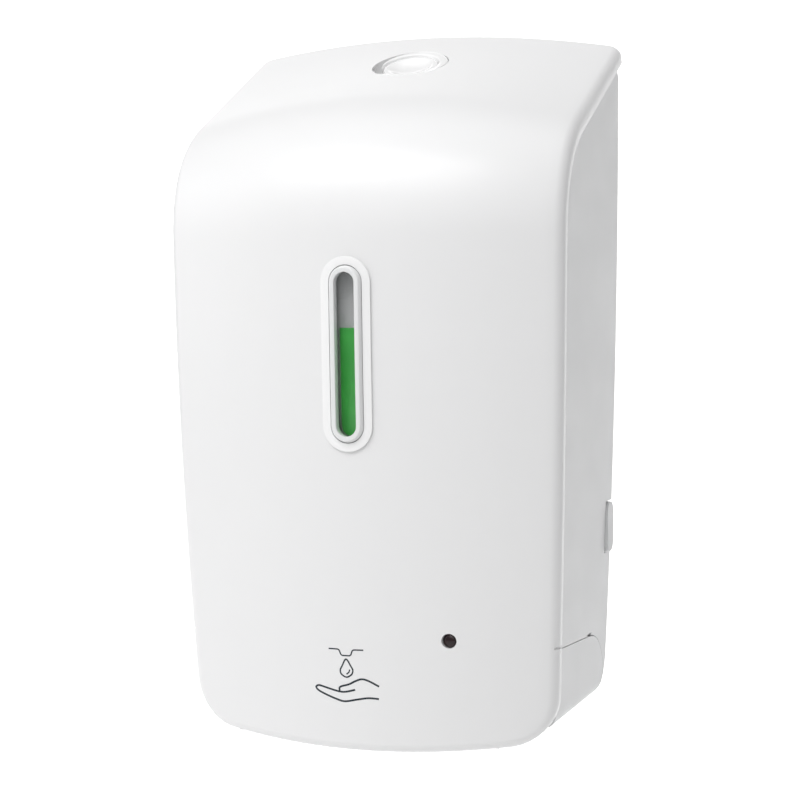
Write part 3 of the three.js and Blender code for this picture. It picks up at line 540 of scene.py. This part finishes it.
def front_cover():
    rows = cover_rows()
    layers = []
    steps = 6
    for i in range(steps + 1):
        angle = math.pi / 2 * (1 - i / steps)
        layers.append((EDGE_ROUNDING * (1 - math.cos(angle)), EDGE_ROUNDING * (1 - math.sin(angle))))
    fold = 0.35
    layers += [(0, RIM_DEPTH - fold), (fold * 0.3, RIM_DEPTH - fold * 0.3), (fold, RIM_DEPTH),
               (COVER_WALL - fold, RIM_DEPTH), (COVER_WALL - fold * 0.3, RIM_DEPTH - fold * 0.3),
               (COVER_WALL, RIM_DEPTH - fold), (COVER_WALL, COVER_WALL + 0.6), (COVER_WALL + 0.6, COVER_WALL)]
    points, faces = [], []

    def add_grid(inset, depth, flip):
        grid = cover_skin(rows, inset, depth)
        start = len(points)
        points.extend(p for line in grid for p in line)
        width = COLUMNS + 1
        for r in range(len(rows) - 1):
            for c in range(COLUMNS):
                a = start + r * width + c
                face = (a, a + 1, a + width + 1, a + width)
                faces.append(face[::-1] if flip else face)
    add_grid(*layers[0], False)
    add_grid(*layers[-1], True)
    loops = [perimeter(cover_skin(rows, inset, depth)) for inset, depth in layers]
    for low, high in zip(loops, loops[1:]):
        start = len(points)
        points.extend(low + high)
        count = len(low)
        for i in range(count):
            j = (i + 1) % count
            faces.append((start + i, start + count + i, start + count + j, start + j))
    cover = make_object("front_cover_shell", points, faces)
    for x in HINGE_SPOTS:
        boolean(cover, hinge_ear(x), "UNION")
    boolean(cover, prism("cutter", window_outline(-1.4), "y", -60, -125), "DIFFERENCE")
    hole = [(0, -15), (BUTTON_HOLE_RADIUS, -15), (BUTTON_HOLE_RADIUS, 15), (0, 15)]
    boolean(cover, turned("cutter", hole, (0, BUTTON_Y, BUTTON_Z), ROOF_ANGLE), "DIFFERENCE")
    indicator_hole = circle(INDICATOR_HOLE_RADIUS, INDICATOR, 40)
    boolean(cover, prism("cutter", indicator_hole, "y", -60, -125), "DIFFERENCE")
    for side in (-1, 1):
        low, high = sorted((side * 65, side * 72))
        boolean(cover, block("cutter", (low, -79, 33.3), (high, -73, 34.3)), "DIFFERENCE")
    shade(cover, 38)
    return finish_piece(cover, "cover", MATERIALS["white_gloss_abs"], "white_gloss_abs", "front_cover")


def hinge_ear(x):
    """The eye that a hinge pin passes through, on an arm from the cover's inside."""
    radius = HINGE_EYE_RADIUS
    front = front_y(x, HINGE_Z, COVER_WALL - 0.6)
    outline = [(front, HINGE_Z - 3.5), (HINGE_Y, HINGE_Z - radius)]
    for i in range(1, 16):
        angle = -math.pi / 2 + math.pi * i / 16
        outline.append((HINGE_Y + radius * math.cos(angle), HINGE_Z + radius * math.sin(angle)))
    outline += [(HINGE_Y, HINGE_Z + radius), (front, HINGE_Z + 3.5)]
    ear = prism("ear", outline, "x", x - 2, x + 2)
    return boolean(ear, hinge_bore(x), "DIFFERENCE")


def hinge_bore(middle):
    """The cutter for a hinge pin's bore through an ear or lug."""
    return prism("bore", circle(HINGE_BORE_RADIUS, (HINGE_Y, HINGE_Z), 32), "x", middle - 4, middle + 4)


# ---------- window, in margins grown from its outline and depths under the cover's surface ----------
def window_outline(margin):
    """The obround outline of the sight window in x and z, grown by a margin."""
    steps, side_steps = 28, 12
    radius = WINDOW_HALF_WIDTH + margin
    reach = WINDOW_HALF_HEIGHT + margin - radius
    points = []
    for centre, start in ((reach, 0), (-reach, math.pi)):
        for i in range(steps + 1):
            angle = start + math.pi * i / steps
            points.append((radius * math.cos(angle), WINDOW_Z + centre + radius * math.sin(angle)))
        if centre > 0:
            side, down = -radius, 1
        else:
            side, down = radius, -1
        points += [(side, WINDOW_Z + down * reach * (1 - 2 * i / side_steps)) for i in range(1, side_steps)]
    return points


def window_ring(name, section):
    """A ring round the window from (margin, depth) points; a closed section."""
    loops = []
    for margin, depth in section:
        loops.append([(x, front_y(x, z, depth), z) for x, z in window_outline(margin)])
    return loft(name, loops, caps=False, smooth_angle=30)


def window_slab(name, margin, top, bottom, rounding):
    """A plate of the window's shape between two depths, with a rounded front edge."""
    section = [(margin - rounding, top), (margin - rounding * 0.3, top + rounding * 0.3),
               (margin, top + rounding), (margin, bottom)]
    loops = [[(x, front_y(x, z, depth), z) for x, z in window_outline(m)] for m, depth in section]
    return loft(name, loops, caps=True, smooth_angle=30)


def rounded_section(corners, radius):
    """A closed section with its corners rounded."""
    path = fillet([corners[-1]] + corners + [corners[0]], radius, 3)
    return path[1:-1]


def window_pieces():
    ring = window_ring("window_outer_ring", rounded_section(
        [(-2.95, 4.9), (-1.8, 4.9), (-1.8, -0.35), (-0.1, -0.35), (-0.1, -0.8), (-2.95, -0.8)], 0.2))
    finish_piece(ring, "cover", MATERIALS["window_white"], "white_gloss_abs", "window_bezel")
    inner = window_ring("window_inner_frame", rounded_section(
        [(-3.15, 4.4), (-3.15, -0.7), (-3.75, -2.1), (-5.3, -2.1), (-5.3, 0.9), (-3.9, 0.9), (-3.9, 4.4)],
        0.25))
    finish_piece(inner, "cover", MATERIALS["window_frame"], "white_gloss_abs")
    lens = window_slab("window_clear_lens", -4.1, 1.2, 3.3, 0.3)
    finish_piece(lens, "cover", MATERIALS["clear_plastic"], "clear_plastic", "window_lens")
    gasket = window_ring("window_seal_ring", rounded_section(
        [(1.2, 3.1), (1.2, 4.4), (-1.2, 4.4), (-1.2, 3.1)], 0.3))
    finish_piece(gasket, "cover", MATERIALS["rubber_seal"], "rubber_seal", "window_gasket")


def tank_sight():
    """The tank's sight rib, which stands out to the window, and the soap that fills it to its level."""
    rib = window_slab("tank_sight_rib", -3.2, 5.2, 15, 1.0)
    finish_piece(rib, "dispenser_body", MATERIALS["frosted_plastic"], "clear_plastic")
    fill = window_slab("sight_soap", -4.4, 3.9, 14, 1.6)
    boolean(fill, block("cutter", (-20, -120, SOAP_LEVEL), (20, -60, 190)), "DIFFERENCE")
    shade(fill, 30)
    finish_piece(fill, "dispenser_body", MATERIALS["soap_green"], "soap_green")


def indicator():
    """The dark lens of the indicator, with a domed face just inside the cover's surface."""
    x, z = INDICATOR
    front = front_y(x, z, 0.45)
    section = [(0, 3.1), (1.7, 3.1), (2.15, 2.8), (2.25, 2.4), (2.25, 0.6), (2.0, 0.3), (1.2, 0.06), (0, 0)]
    points = [(radius, -height) for radius, height in section]
    lens = turned("indicator_lens", points, (0, 0, 0), steps=48)
    turn = Matrix.Rotation(math.radians(90), 4, "X")
    lens.data.transform(Matrix.Translation(place(x, front, z)) @ turn @ Matrix.Translation(-place(0, 0, 0)))
    finish_piece(lens, "cover", MATERIALS["dark_window"], "dark_window", "indicator_window")


# ---------- lock button ----------
def on_roof(name, section):
    """A section turned about the button's axis; heights count up from the roof at its centre."""
    return turned(name, section, (0, BUTTON_Y, BUTTON_Z), ROOF_ANGLE)


def button_bezel():
    """The cup under the roof: a collar round the button, with a crescent shaped gap beside it."""
    top = [(10.3, -6.5), (10.3, -0.9), (10.5, -0.5), (10.9, -0.3), (12.6, -0.3), (13.3, -0.4), (13.55, -0.7)]
    cup = on_roof("button_collar", top + [(13.6, -3.5), (15.8, -3.5), (15.8, -5), (13.6, -5), (13.6, -16.5),
                                          (4.2, -16.5), (4.2, -15), (12.2, -15), (12.2, -6.5), (10.3, -6.5)])
    crescent = roof_prism("crescent", circle(13.3), -6.2, 2)
    boolean(crescent, roof_prism("cutter", circle(12, (1.3, 1.25)), -8, 8), "DIFFERENCE")
    boolean(crescent, roof_block((-20, -20, -9), (20, -8, 9)), "DIFFERENCE")
    boolean(cup, crescent, "DIFFERENCE")
    shade(cup, 35)
    finish_piece(cup, "cover", MATERIALS["window_white"], "white_gloss_abs", "button_bezel")
    guide = roof_block((-8, -9, -29), (8, 9, -16.3))
    boolean(guide, roof_block((-5.3, -15, -27.3), (5.3, 15, -23.7)), "DIFFERENCE")
    boolean(guide, on_roof("cutter", [(0, -40), (4.2, -40), (4.2, 0), (0, 0)]), "DIFFERENCE")
    guide.name = "latch_guide"
    bevelled(guide, 0.3, 2)
    finish_piece(guide, "cover", MATERIALS["window_white"], "white_gloss_abs")


def to_roof(part):
    """A part built about the model's origin, moved square to the roof at the button's centre."""
    shift = Matrix.Translation(place(0, BUTTON_Y, BUTTON_Z)) @ Matrix.Rotation(ROOF_ANGLE, 4, "X")
    part.data.transform(shift @ Matrix.Translation(-place(0, 0, 0)))
    return part


def roof_block(low, high):
    return to_roof(block("roof_block", low, high))


def roof_prism(name, outline, low, high):
    return to_roof(prism(name, outline, "z", low, high))


def lock_button():
    section = [(0, -2.6), (2.5, -2.55), (4.5, -2.3), (6.2, -1.75), (7.4, -1.15), (8.2, -0.8), (9.0, -0.75),
               (9.6, -1.0), (9.9, -1.5), (9.9, -6.9), (11.8, -6.9), (11.8, -8.2), (3.5, -8.2), (3.5, -25.5),
               (0, -25.5)]
    button = on_roof("lock_button_cap", section)
    slope = BUTTON_TRAVEL / LATCH_TRAVEL
    outline = [(-4, -20.6), (3, -20.6 - 7 * slope), (3, -30), (-4, -30)]
    boolean(button, to_roof(prism("cutter", outline, "x", -6, 6)), "DIFFERENCE")
    shade(button, 35)
    finish_piece(button, "button", MATERIALS["window_white"], "white_gloss_abs", "lock_button")


def button_spring():
    """The spring under the button, a copy of the CAD's coil with smooth shading."""
    node = frame["nodes"]["button_spring"]
    spring = bpy.data.objects.new("button_spring_coil", node.data.copy())
    bpy.context.scene.collection.objects.link(spring)
    shade(spring)
    finish_piece(spring, node["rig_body"], MATERIALS["steel"], "steel", "button_spring")
    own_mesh(spring)


# ---------- housings ----------
def outline_x(z, inset, bottom, radius):
    """Half the width of a housing at a height, with rounded bottom corners."""
    width = half_width(z) - inset
    if z < bottom + radius:
        corner = half_width(bottom + radius) - inset - radius
        rise = bottom + radius - z
        width = corner + math.sqrt(max(0.0, radius ** 2 - rise ** 2))
    return width


def front_edge(z_low, z_high, depth, steps):
    """Side view points (y, z) along the cover's under side between two heights of the profile."""
    points = []
    for i in range(steps + 1):
        s = z_low + (z_high - z_low) * i / steps
        point, out, _ = profile.at(s)
        points.append((point.x - out.x * depth, point.y - out.y * depth))
    return points


def seam(shift):
    """The line on which the two housings part, front to back in side view, shifted up and back."""
    points = [(-120, 34.9 + shift), (-26, 29 + shift)]
    start, control, end = Vector((-26, 29 + shift)), Vector((-12, 28 + shift)), Vector((-5 + shift, 17))
    for i in range(1, 15):
        u = i / 14
        points.append(tuple((1 - u) ** 2 * start + 2 * u * (1 - u) * control + u * u * end))
    return points + [(-2 + shift, 0)]


def side_shape():
    """The side view of both housings together, anticlockwise."""
    depth = RIM_DEPTH + GAP
    front = front_edge(1.5, profile.end - 1, depth, 90)
    front = [p for p in front if p[1] <= HOUSING_TOP - 0.01 and p[0] <= HOUSING_BACK - 3.2]
    front = [p for p in front if p[1] >= SKIRT_Z]
    top_radius = 3.0
    top_y, top_z = HOUSING_BACK - top_radius, HOUSING_TOP - top_radius
    arc = [(top_y + top_radius * math.cos(a), top_z + top_radius * math.sin(a))
           for a in (math.pi / 2 * (1 - i / 8) for i in range(9))]
    low_y, low_z = HOUSING_BACK - BACK_CORNER, SKIRT_Z + BACK_CORNER
    back = [(low_y + BACK_CORNER * math.cos(a), low_z + BACK_CORNER * math.sin(a))
            for a in (-math.pi / 2 * i / 16 for i in range(17))]
    return front + arc + back


def shell_solid(name, inset, bottom, radius, side_outline, heights):
    """A solid between the two side walls: the side outline pushed across, its sides bent to the outline."""
    mesh = bpy.data.meshes.new(name)
    bm = bmesh.new()
    low = [bm.verts.new((-1, y, z)) for y, z in side_outline]
    high = [bm.verts.new((1, y, z)) for y, z in side_outline]
    bm.faces.new(low)
    bm.faces.new(high[::-1])
    count = len(side_outline)
    for i in range(count):
        j = (i + 1) % count
        bm.faces.new((low[i], high[i], high[j], low[j]))
    for z in heights:
        bmesh.ops.bisect_plane(bm, geom=bm.verts[:] + bm.edges[:] + bm.faces[:], dist=1e-5,
                               plane_co=(0, 0, z), plane_no=(0, 0, 1))
    for v in bm.verts:
        x, y, z = v.co
        v.co = place(math.copysign(outline_x(z, inset, bottom, radius), x), y, z)
    bmesh.ops.recalc_face_normals(bm, faces=bm.faces)
    bm.to_mesh(mesh)
    bm.free()
    obj = bpy.data.objects.new(name, mesh)
    bpy.context.scene.collection.objects.link(obj)
    return obj


def housing_solid(name):
    corner = [SKIRT_Z + SKIRT_ROUNDING * (1 - math.cos(math.pi / 2 * i / 10)) for i in range(1, 11)]
    upper = [12 + 6 * i for i in range(37)]
    return shell_solid(name, SIDE_INSET, SKIRT_Z, SKIRT_ROUNDING, side_shape(), corner + upper)


def seam_cutter(name, shift, above):
    line = seam(shift)
    far = 260 if above else -40
    outline = line + [(20, line[-1][1]), (20, far), (-120, far)]
    return prism(name, outline, "x", -90, 90)


def inner_room(name, bottom, back, room_back, top=260):
    """The space inside the side walls, from the back forward."""
    inset = SIDE_INSET + WALL
    heights = [bottom + 6 * (1 - math.cos(math.pi / 2 * i / 6)) for i in range(7)]
    heights += [bottom + 6 + (top - bottom - 6) * i / 40 for i in range(1, 41)]
    right = [(outline_x(z, inset, bottom, 6), z) for z in heights]
    outline = right + [(-x, z) for x, z in reversed(right)]
    return prism(name, outline, "y", back, room_back)


def back_housing():
    housing = housing_solid("back_housing_shell")
    boolean(housing, seam_cutter("cutter", GAP, False), "DIFFERENCE")
    boolean(housing, inner_room("cutter", FLOOR_Z - 20, -6.2, -130), "DIFFERENCE")
    boolean(housing, inner_room("cutter", FLOOR_Z - 20, 3, -3.3), "DIFFERENCE")
    for side in (-1, 1):
        low, high = sorted((side * 60, side * 80))
        boolean(housing, block("cutter", (low, -9.4, 56.6), (high, 2, 75.4)), "DIFFERENCE")
        low, high = sorted((side * 63.3, side * 72))
        boolean(housing, block("cutter", (low, -30.5, 28.6), (high, -24.5, 30.3)), "DIFFERENCE")
    for x, z in ((-30, 60), (30, 60), (-30, 186), (30, 186)):
        boolean(housing, block("cutter", (x - 6, -8, z - 1), (x + 6, 0, z + 10)), "DIFFERENCE")
    bevelled(housing, 0.45, 2, angle=50)
    finish_piece(housing, "dispenser_body", MATERIALS["housing_white"], "white_gloss_abs", "back_housing")


def lower_housing():
    housing = housing_solid("lower_housing_shell")
    boolean(housing, seam_cutter("cutter", 0, True), "DIFFERENCE")
    room = inner_room("room", FLOOR_Z + WALL, -3.2, -130, 60)
    sides = [(-130, FLOOR_Z + WALL), (-22, FLOOR_Z + WALL)]
    sides += [(-22 + 8 * math.sin(a), FLOOR_Z + WALL + 8 - 8 * math.cos(a))
              for a in (math.pi / 2 * i / 8 for i in range(1, 9))]
    sides += [(-14, 60), (-130, 60)]
    boolean(room, prism("clip", sides, "x", -80, 80), "INTERSECT")
    boolean(housing, room, "DIFFERENCE")
    boolean(housing, inner_room("underside", FLOOR_Z - 20, -14, -130, FLOOR_Z), "DIFFERENCE")
    boolean(housing, block("cutter", (-55, -51.5, 0), (55, -16.5, 12)), "DIFFERENCE")
    boolean(housing, prism("cutter", circle(7.3, (0, PUMP_Y), 48), "z", 4, 14), "DIFFERENCE")
    boolean(housing, block("cutter", (14, PUMP_Y - 4.5, 4), (32, PUMP_Y + 4.5, 14)), "DIFFERENCE")
    for x in HINGE_SPOTS:
        for middle in (x - 4.5, x + 4.5):
            boolean(housing, hinge_lug(middle), "UNION")
    post_section = [(0, FLOOR_Z + 1), (3, FLOOR_Z + 1), (3, 30.7), (1.6, 30.7), (1.6, 18), (0, 18)]
    for x, y in ((-58, -59), (58, -59), (-58.2, -23), (58.2, -23)):
        post = turned("post", post_section, (x, y, 0), steps=28)
        boolean(housing, post, "UNION")
    bevelled(housing, 0.35, 2, angle=50)
    finish_piece(housing, "dispenser_body", MATERIALS["housing_white"], "white_gloss_abs", "lower_housing")


def hinge_lug(middle):
    """One of the two lugs beside a hinge ear, hanging from the floor."""
    radius = HINGE_EYE_RADIUS
    outline = [(HINGE_Y + radius, FLOOR_Z + 0.5), (HINGE_Y - radius, FLOOR_Z + 0.5)]
    for i in range(17):
        angle = math.pi + math.pi * i / 16
        outline.append((HINGE_Y + radius * math.cos(angle), HINGE_Z + radius * math.sin(angle)))
    lug = prism("lug", outline, "x", middle - 2, middle + 2)
    return boolean(lug, hinge_bore(middle), "DIFFERENCE")


# ---------- other pieces ----------
def refined(node, material, width):
    """A copy of a CAD node with softened edges, which stands for it."""
    source = frame["nodes"][node]
    mesh = source.data.copy()
    mesh.materials.clear()
    bm = bmesh.new()
    bm.from_mesh(mesh)
    bmesh.ops.remove_doubles(bm, verts=bm.verts, dist=1e-6)
    bmesh.ops.dissolve_limit(bm, angle_limit=math.radians(1.5), verts=bm.verts, edges=bm.edges)
    bm.to_mesh(mesh)
    bm.free()
    obj = bpy.data.objects.new(node + "_detail", mesh)
    bpy.context.scene.collection.objects.link(obj)
    bevelled(obj, width, 2, 40, 40)
    return finish_piece(obj, source["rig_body"], MATERIALS[material], CAD_SLOTS[node], node)


def pictogram_line(name, points, width=0.42, closed=False):
    """A printed line on the cover, following its surface."""
    curve_points = [Vector(p) for p in points]
    count = len(curve_points)
    half = width / 2
    left, right = [], []
    for i, point in enumerate(curve_points):
        before = curve_points[i - 1] if closed or i else point
        after = curve_points[(i + 1) % count] if closed or i < count - 1 else point
        along = (after - before).normalized()
        across = Vector((-along.y, along.x)) * half
        left.append(point + across)
        right.append(point - across)
    verts, faces = [], []
    for depth in (-0.03, 0.05):
        for side in (left, right):
            verts.extend((p.x, front_y(p.x, p.y, depth), p.y) for p in side)
    ll, rl, lh, rh = (k * count for k in range(4))
    spans = count if closed else count - 1
    for i in range(spans):
        j = (i + 1) % count
        faces += [(ll + i, ll + j, rl + j, rl + i), (lh + i, rh + i, rh + j, lh + j),
                  (ll + i, lh + i, lh + j, ll + j), (rl + i, rl + j, rh + j, rh + i)]
    if not closed:
        faces += [(ll, rl, rh, lh), (ll + count - 1, lh + count - 1, rh + count - 1, rl + count - 1)]
    line = make_object(name, verts, faces)
    return finish_piece(line, "cover", MATERIALS["print_ink"], "black_plastic")


def smooth_path(points, steps=8, closed=False):
    """Catmull-Rom through (x, z) points."""
    path = []
    count = len(points)
    spans = count if closed else count - 1
    for i in range(spans):
        p0 = Vector(points[i - 1] if closed or i else points[0])
        p1, p2 = Vector(points[i]), Vector(points[(i + 1) % count])
        p3 = Vector(points[(i + 2) % count] if closed or i < count - 2 else points[-1])
        for k in range(steps):
            t = k / steps
            path.append(0.5 * (2 * p1 + (p2 - p0) * t + (2 * p0 - 5 * p1 + 4 * p2 - p3) * t * t
                               + (3 * p1 - p0 - 3 * p2 + p3) * t ** 3))
    if not closed:
        path.append(Vector(points[-1]))
    return path


def pictogram():
    """The printed sign of a hand under a nozzle: a bar with a dip, a drop and an open hand."""
    bar = [(-9.3, 32.2), (-5.6, 32.2), (-4.8, 30.1), (-1.4, 30.1), (-0.7, 32.2), (3.2, 32.3)]
    pictogram_line("sign_nozzle", fillet(bar, 0.7, 4), 0.46)
    drop = [(-3.1, 28.9), (-4.6, 26.5), (-5.3, 25.0), (-4.9, 23.6), (-3.1, 22.7), (-1.3, 23.7), (-0.8, 25.2),
            (-1.5, 26.6)]
    pictogram_line("sign_drop", smooth_path(drop, 6, True), 0.52, True)
    pictogram_line("sign_drop_glint", smooth_path([(-1.9, 25.4), (-2.2, 24.5), (-3.1, 23.7)], 6), 0.46)
    palm = [(8.1, 15.8), (4.4, 15.9), (0.5, 15.2), (-4.0, 14.3), (-7.0, 14.9), (-10.8, 16.2), (-13.5, 17.4),
            (-14.5, 18.5), (-13.6, 19.2), (-12.1, 19.0), (-8.9, 18.2), (-5.9, 17.6), (-3.7, 17.6),
            (-0.2, 18.5)]
    pictogram_line("sign_palm", smooth_path(palm, 6), 0.64)
    thumb = [(-5.8, 17.9), (-5.8, 18.9), (-4.9, 19.5), (-2.3, 20.3), (0.0, 21.5), (2.3, 22.3), (4.7, 21.8),
             (8.3, 20.1)]
    pictogram_line("sign_thumb", smooth_path(thumb, 6), 0.64)


# ---------- assembly ----------
front_cover()
window_pieces()
tank_sight()
indicator()
button_bezel()
lock_button()
button_spring()
back_housing()
lower_housing()
pictogram()

# CAD nodes shown with softened edges: their finish and the edge rounding in millimetres
REFINED = {
    "wall_plate": ("white_satin_abs", 0.5), "battery_door": ("white_gloss_abs", 0.4),
    "inner_panel": ("white_satin_abs", 0.4), "nozzle": ("white_satin_abs", 0.2),
    "sensor_window": ("dark_window", 0.3), "tank_body": ("tank_plastic", 0.4),
    "tank_lid": ("tank_plastic", 0.4), "filler_cap": ("blue_plastic", 0.4),
    "pump_deck": ("grey_plastic", 0.35), "gear_plate": ("grey_plastic", 0.3),
    "pump_body": ("grey_plastic", 0.35), "pump_cover": ("grey_plastic", 0.3),
    "power_switch_body": ("black_plastic", 0.3), "power_rocker": ("red_plastic", 0.25),
    "control_board": ("circuit_board", 0.1), "sensor_board": ("circuit_board", 0.1),
    "latch_slider": ("acetal", 0.25), "motor_can": ("steel", 0.5),
    "battery_1": ("battery_sleeve", 0.3), "battery_2": ("battery_sleeve", 0.3),
    "battery_3": ("battery_sleeve", 0.3), "battery_4": ("battery_sleeve", 0.3),
}
for node_name, (material_name, edge) in REFINED.items():
    refined(node_name, material_name, edge)

for node_name, slot_name in CAD_SLOTS.items():
    cad_node = frame["nodes"][node_name]
    cad_node.data.materials.clear()
    cad_node.data.materials.append(MATERIALS[slot_name])
    shade(cad_node)


# ---------- stage, light and camera ----------
def backdrop_material():
    """A pale matt floor and wall, with a white glow on the part behind the dispenser."""
    shader = Shader("backdrop_white", (0.82, 0.82, 0.82), 0.9, Emission_Color=(1, 1, 1, 1))
    shader.vary_color(2, (0.8, 0.8, 0.8))
    distance = shader.tree.nodes.new("ShaderNodeVectorMath")
    distance.operation = "DISTANCE"
    distance.inputs[1].default_value = GLOW_CENTRE
    shader.tree.links.new(shader.where, distance.inputs[0])
    glow = shader.tree.nodes.new("ShaderNodeMapRange")
    glow.inputs["From Min"].default_value, glow.inputs["From Max"].default_value = GLOW_FADE
    glow.inputs["To Min"].default_value = STAGE_GLOW
    glow.inputs["To Max"].default_value = 0.0
    shader.tree.links.new(distance.outputs["Value"], glow.inputs["Value"])
    shader.tree.links.new(glow.outputs["Result"], shader.base.inputs["Emission Strength"])
    return shader.material


def stage():
    """A pale backdrop that curves from the floor up behind the dispenser, which hangs in front of it."""
    floor_z, back_y, radius = -0.42, 2.6, 0.9
    section = [(-4.0, floor_z), (back_y - radius, floor_z)]
    section += [(back_y - radius + radius * math.sin(a), floor_z + radius - radius * math.cos(a))
                for a in (math.pi / 2 * i / 16 for i in range(1, 17))]
    section += [(back_y, 4.0)]
    verts = [(x, y, z) for x in (-6, 6) for y, z in section]
    count = len(section)
    faces = [(i, i + 1, count + i + 1, count + i) for i in range(count - 1)]
    mesh = bpy.data.meshes.new("backdrop")
    mesh.from_pydata(verts, [], faces)
    mesh.shade_smooth()
    obj = bpy.data.objects.new("backdrop", mesh)
    bpy.context.scene.collection.objects.link(obj)
    obj.data.materials.append(backdrop_material())


def area_light(name, location, size, power):
    """A soft light in metres and watts, aimed at the dispenser's middle."""
    light = bpy.data.lights.new(name, "AREA")
    light.shape = "RECTANGLE"
    light.size, light.size_y = size
    light.energy = power
    obj = bpy.data.objects.new(name, light)
    obj.location = location
    obj.rotation_euler = (-Vector(location)).to_track_quat("-Z", "Y").to_euler()
    bpy.context.scene.collection.objects.link(obj)


STAGE_GLOW = 1.0
GLOW_CENTRE = (-0.8, 2.1, 0.1)
GLOW_FADE = (1.6, 2.8)  # full up to the first distance, gone by the second
WORLD_LIGHT = 0.35
# each light's place and size in metres, and its power in watts
AREA_LIGHTS = {
    "shoulder": ((-0.3, -1.0, 1.1), (1.2, 0.7), 12),
    "top": ((0.0, -0.3, 1.8), (1.6, 1.2), 4),
    "front": ((0.2, -2.3, 0.9), (2.0, 1.2), 6),
    "left": ((-2.0, -0.9, 0.6), (1.2, 1.6), 7.6),
    "right": ((1.9, -0.6, 0.8), (1.2, 1.6), 1),
}


def lights():
    for name, (location, size, power) in AREA_LIGHTS.items():
        area_light(name, location, size, power)
    world = bpy.data.worlds.new("studio")
    world.use_nodes = True
    background = world.node_tree.nodes["Background"]
    background.inputs["Color"].default_value = (1, 1, 1, 1)
    background.inputs["Strength"].default_value = WORLD_LIGHT
    bpy.context.scene.world = world


def camera():
    data = bpy.data.cameras.new("camera")
    data.sensor_width = 36
    data.lens = 92.04
    obj = bpy.data.objects.new("camera", data)
    right = Vector((0.94546, 0.32573, -0.00331))
    up = Vector((-0.01624, 0.05730, 0.99822))
    back = right.cross(up).normalized()
    up = back.cross(right).normalized()
    turn = Matrix((right.normalized(), up, back)).transposed().to_4x4()
    obj.matrix_world = Matrix.Translation(place(235.742, -729.671, 156.353)) @ turn
    bpy.context.scene.collection.objects.link(obj)
    bpy.context.scene.camera = obj


stage()
lights()
camera()
bpy.context.scene.view_settings.view_transform = "Standard"
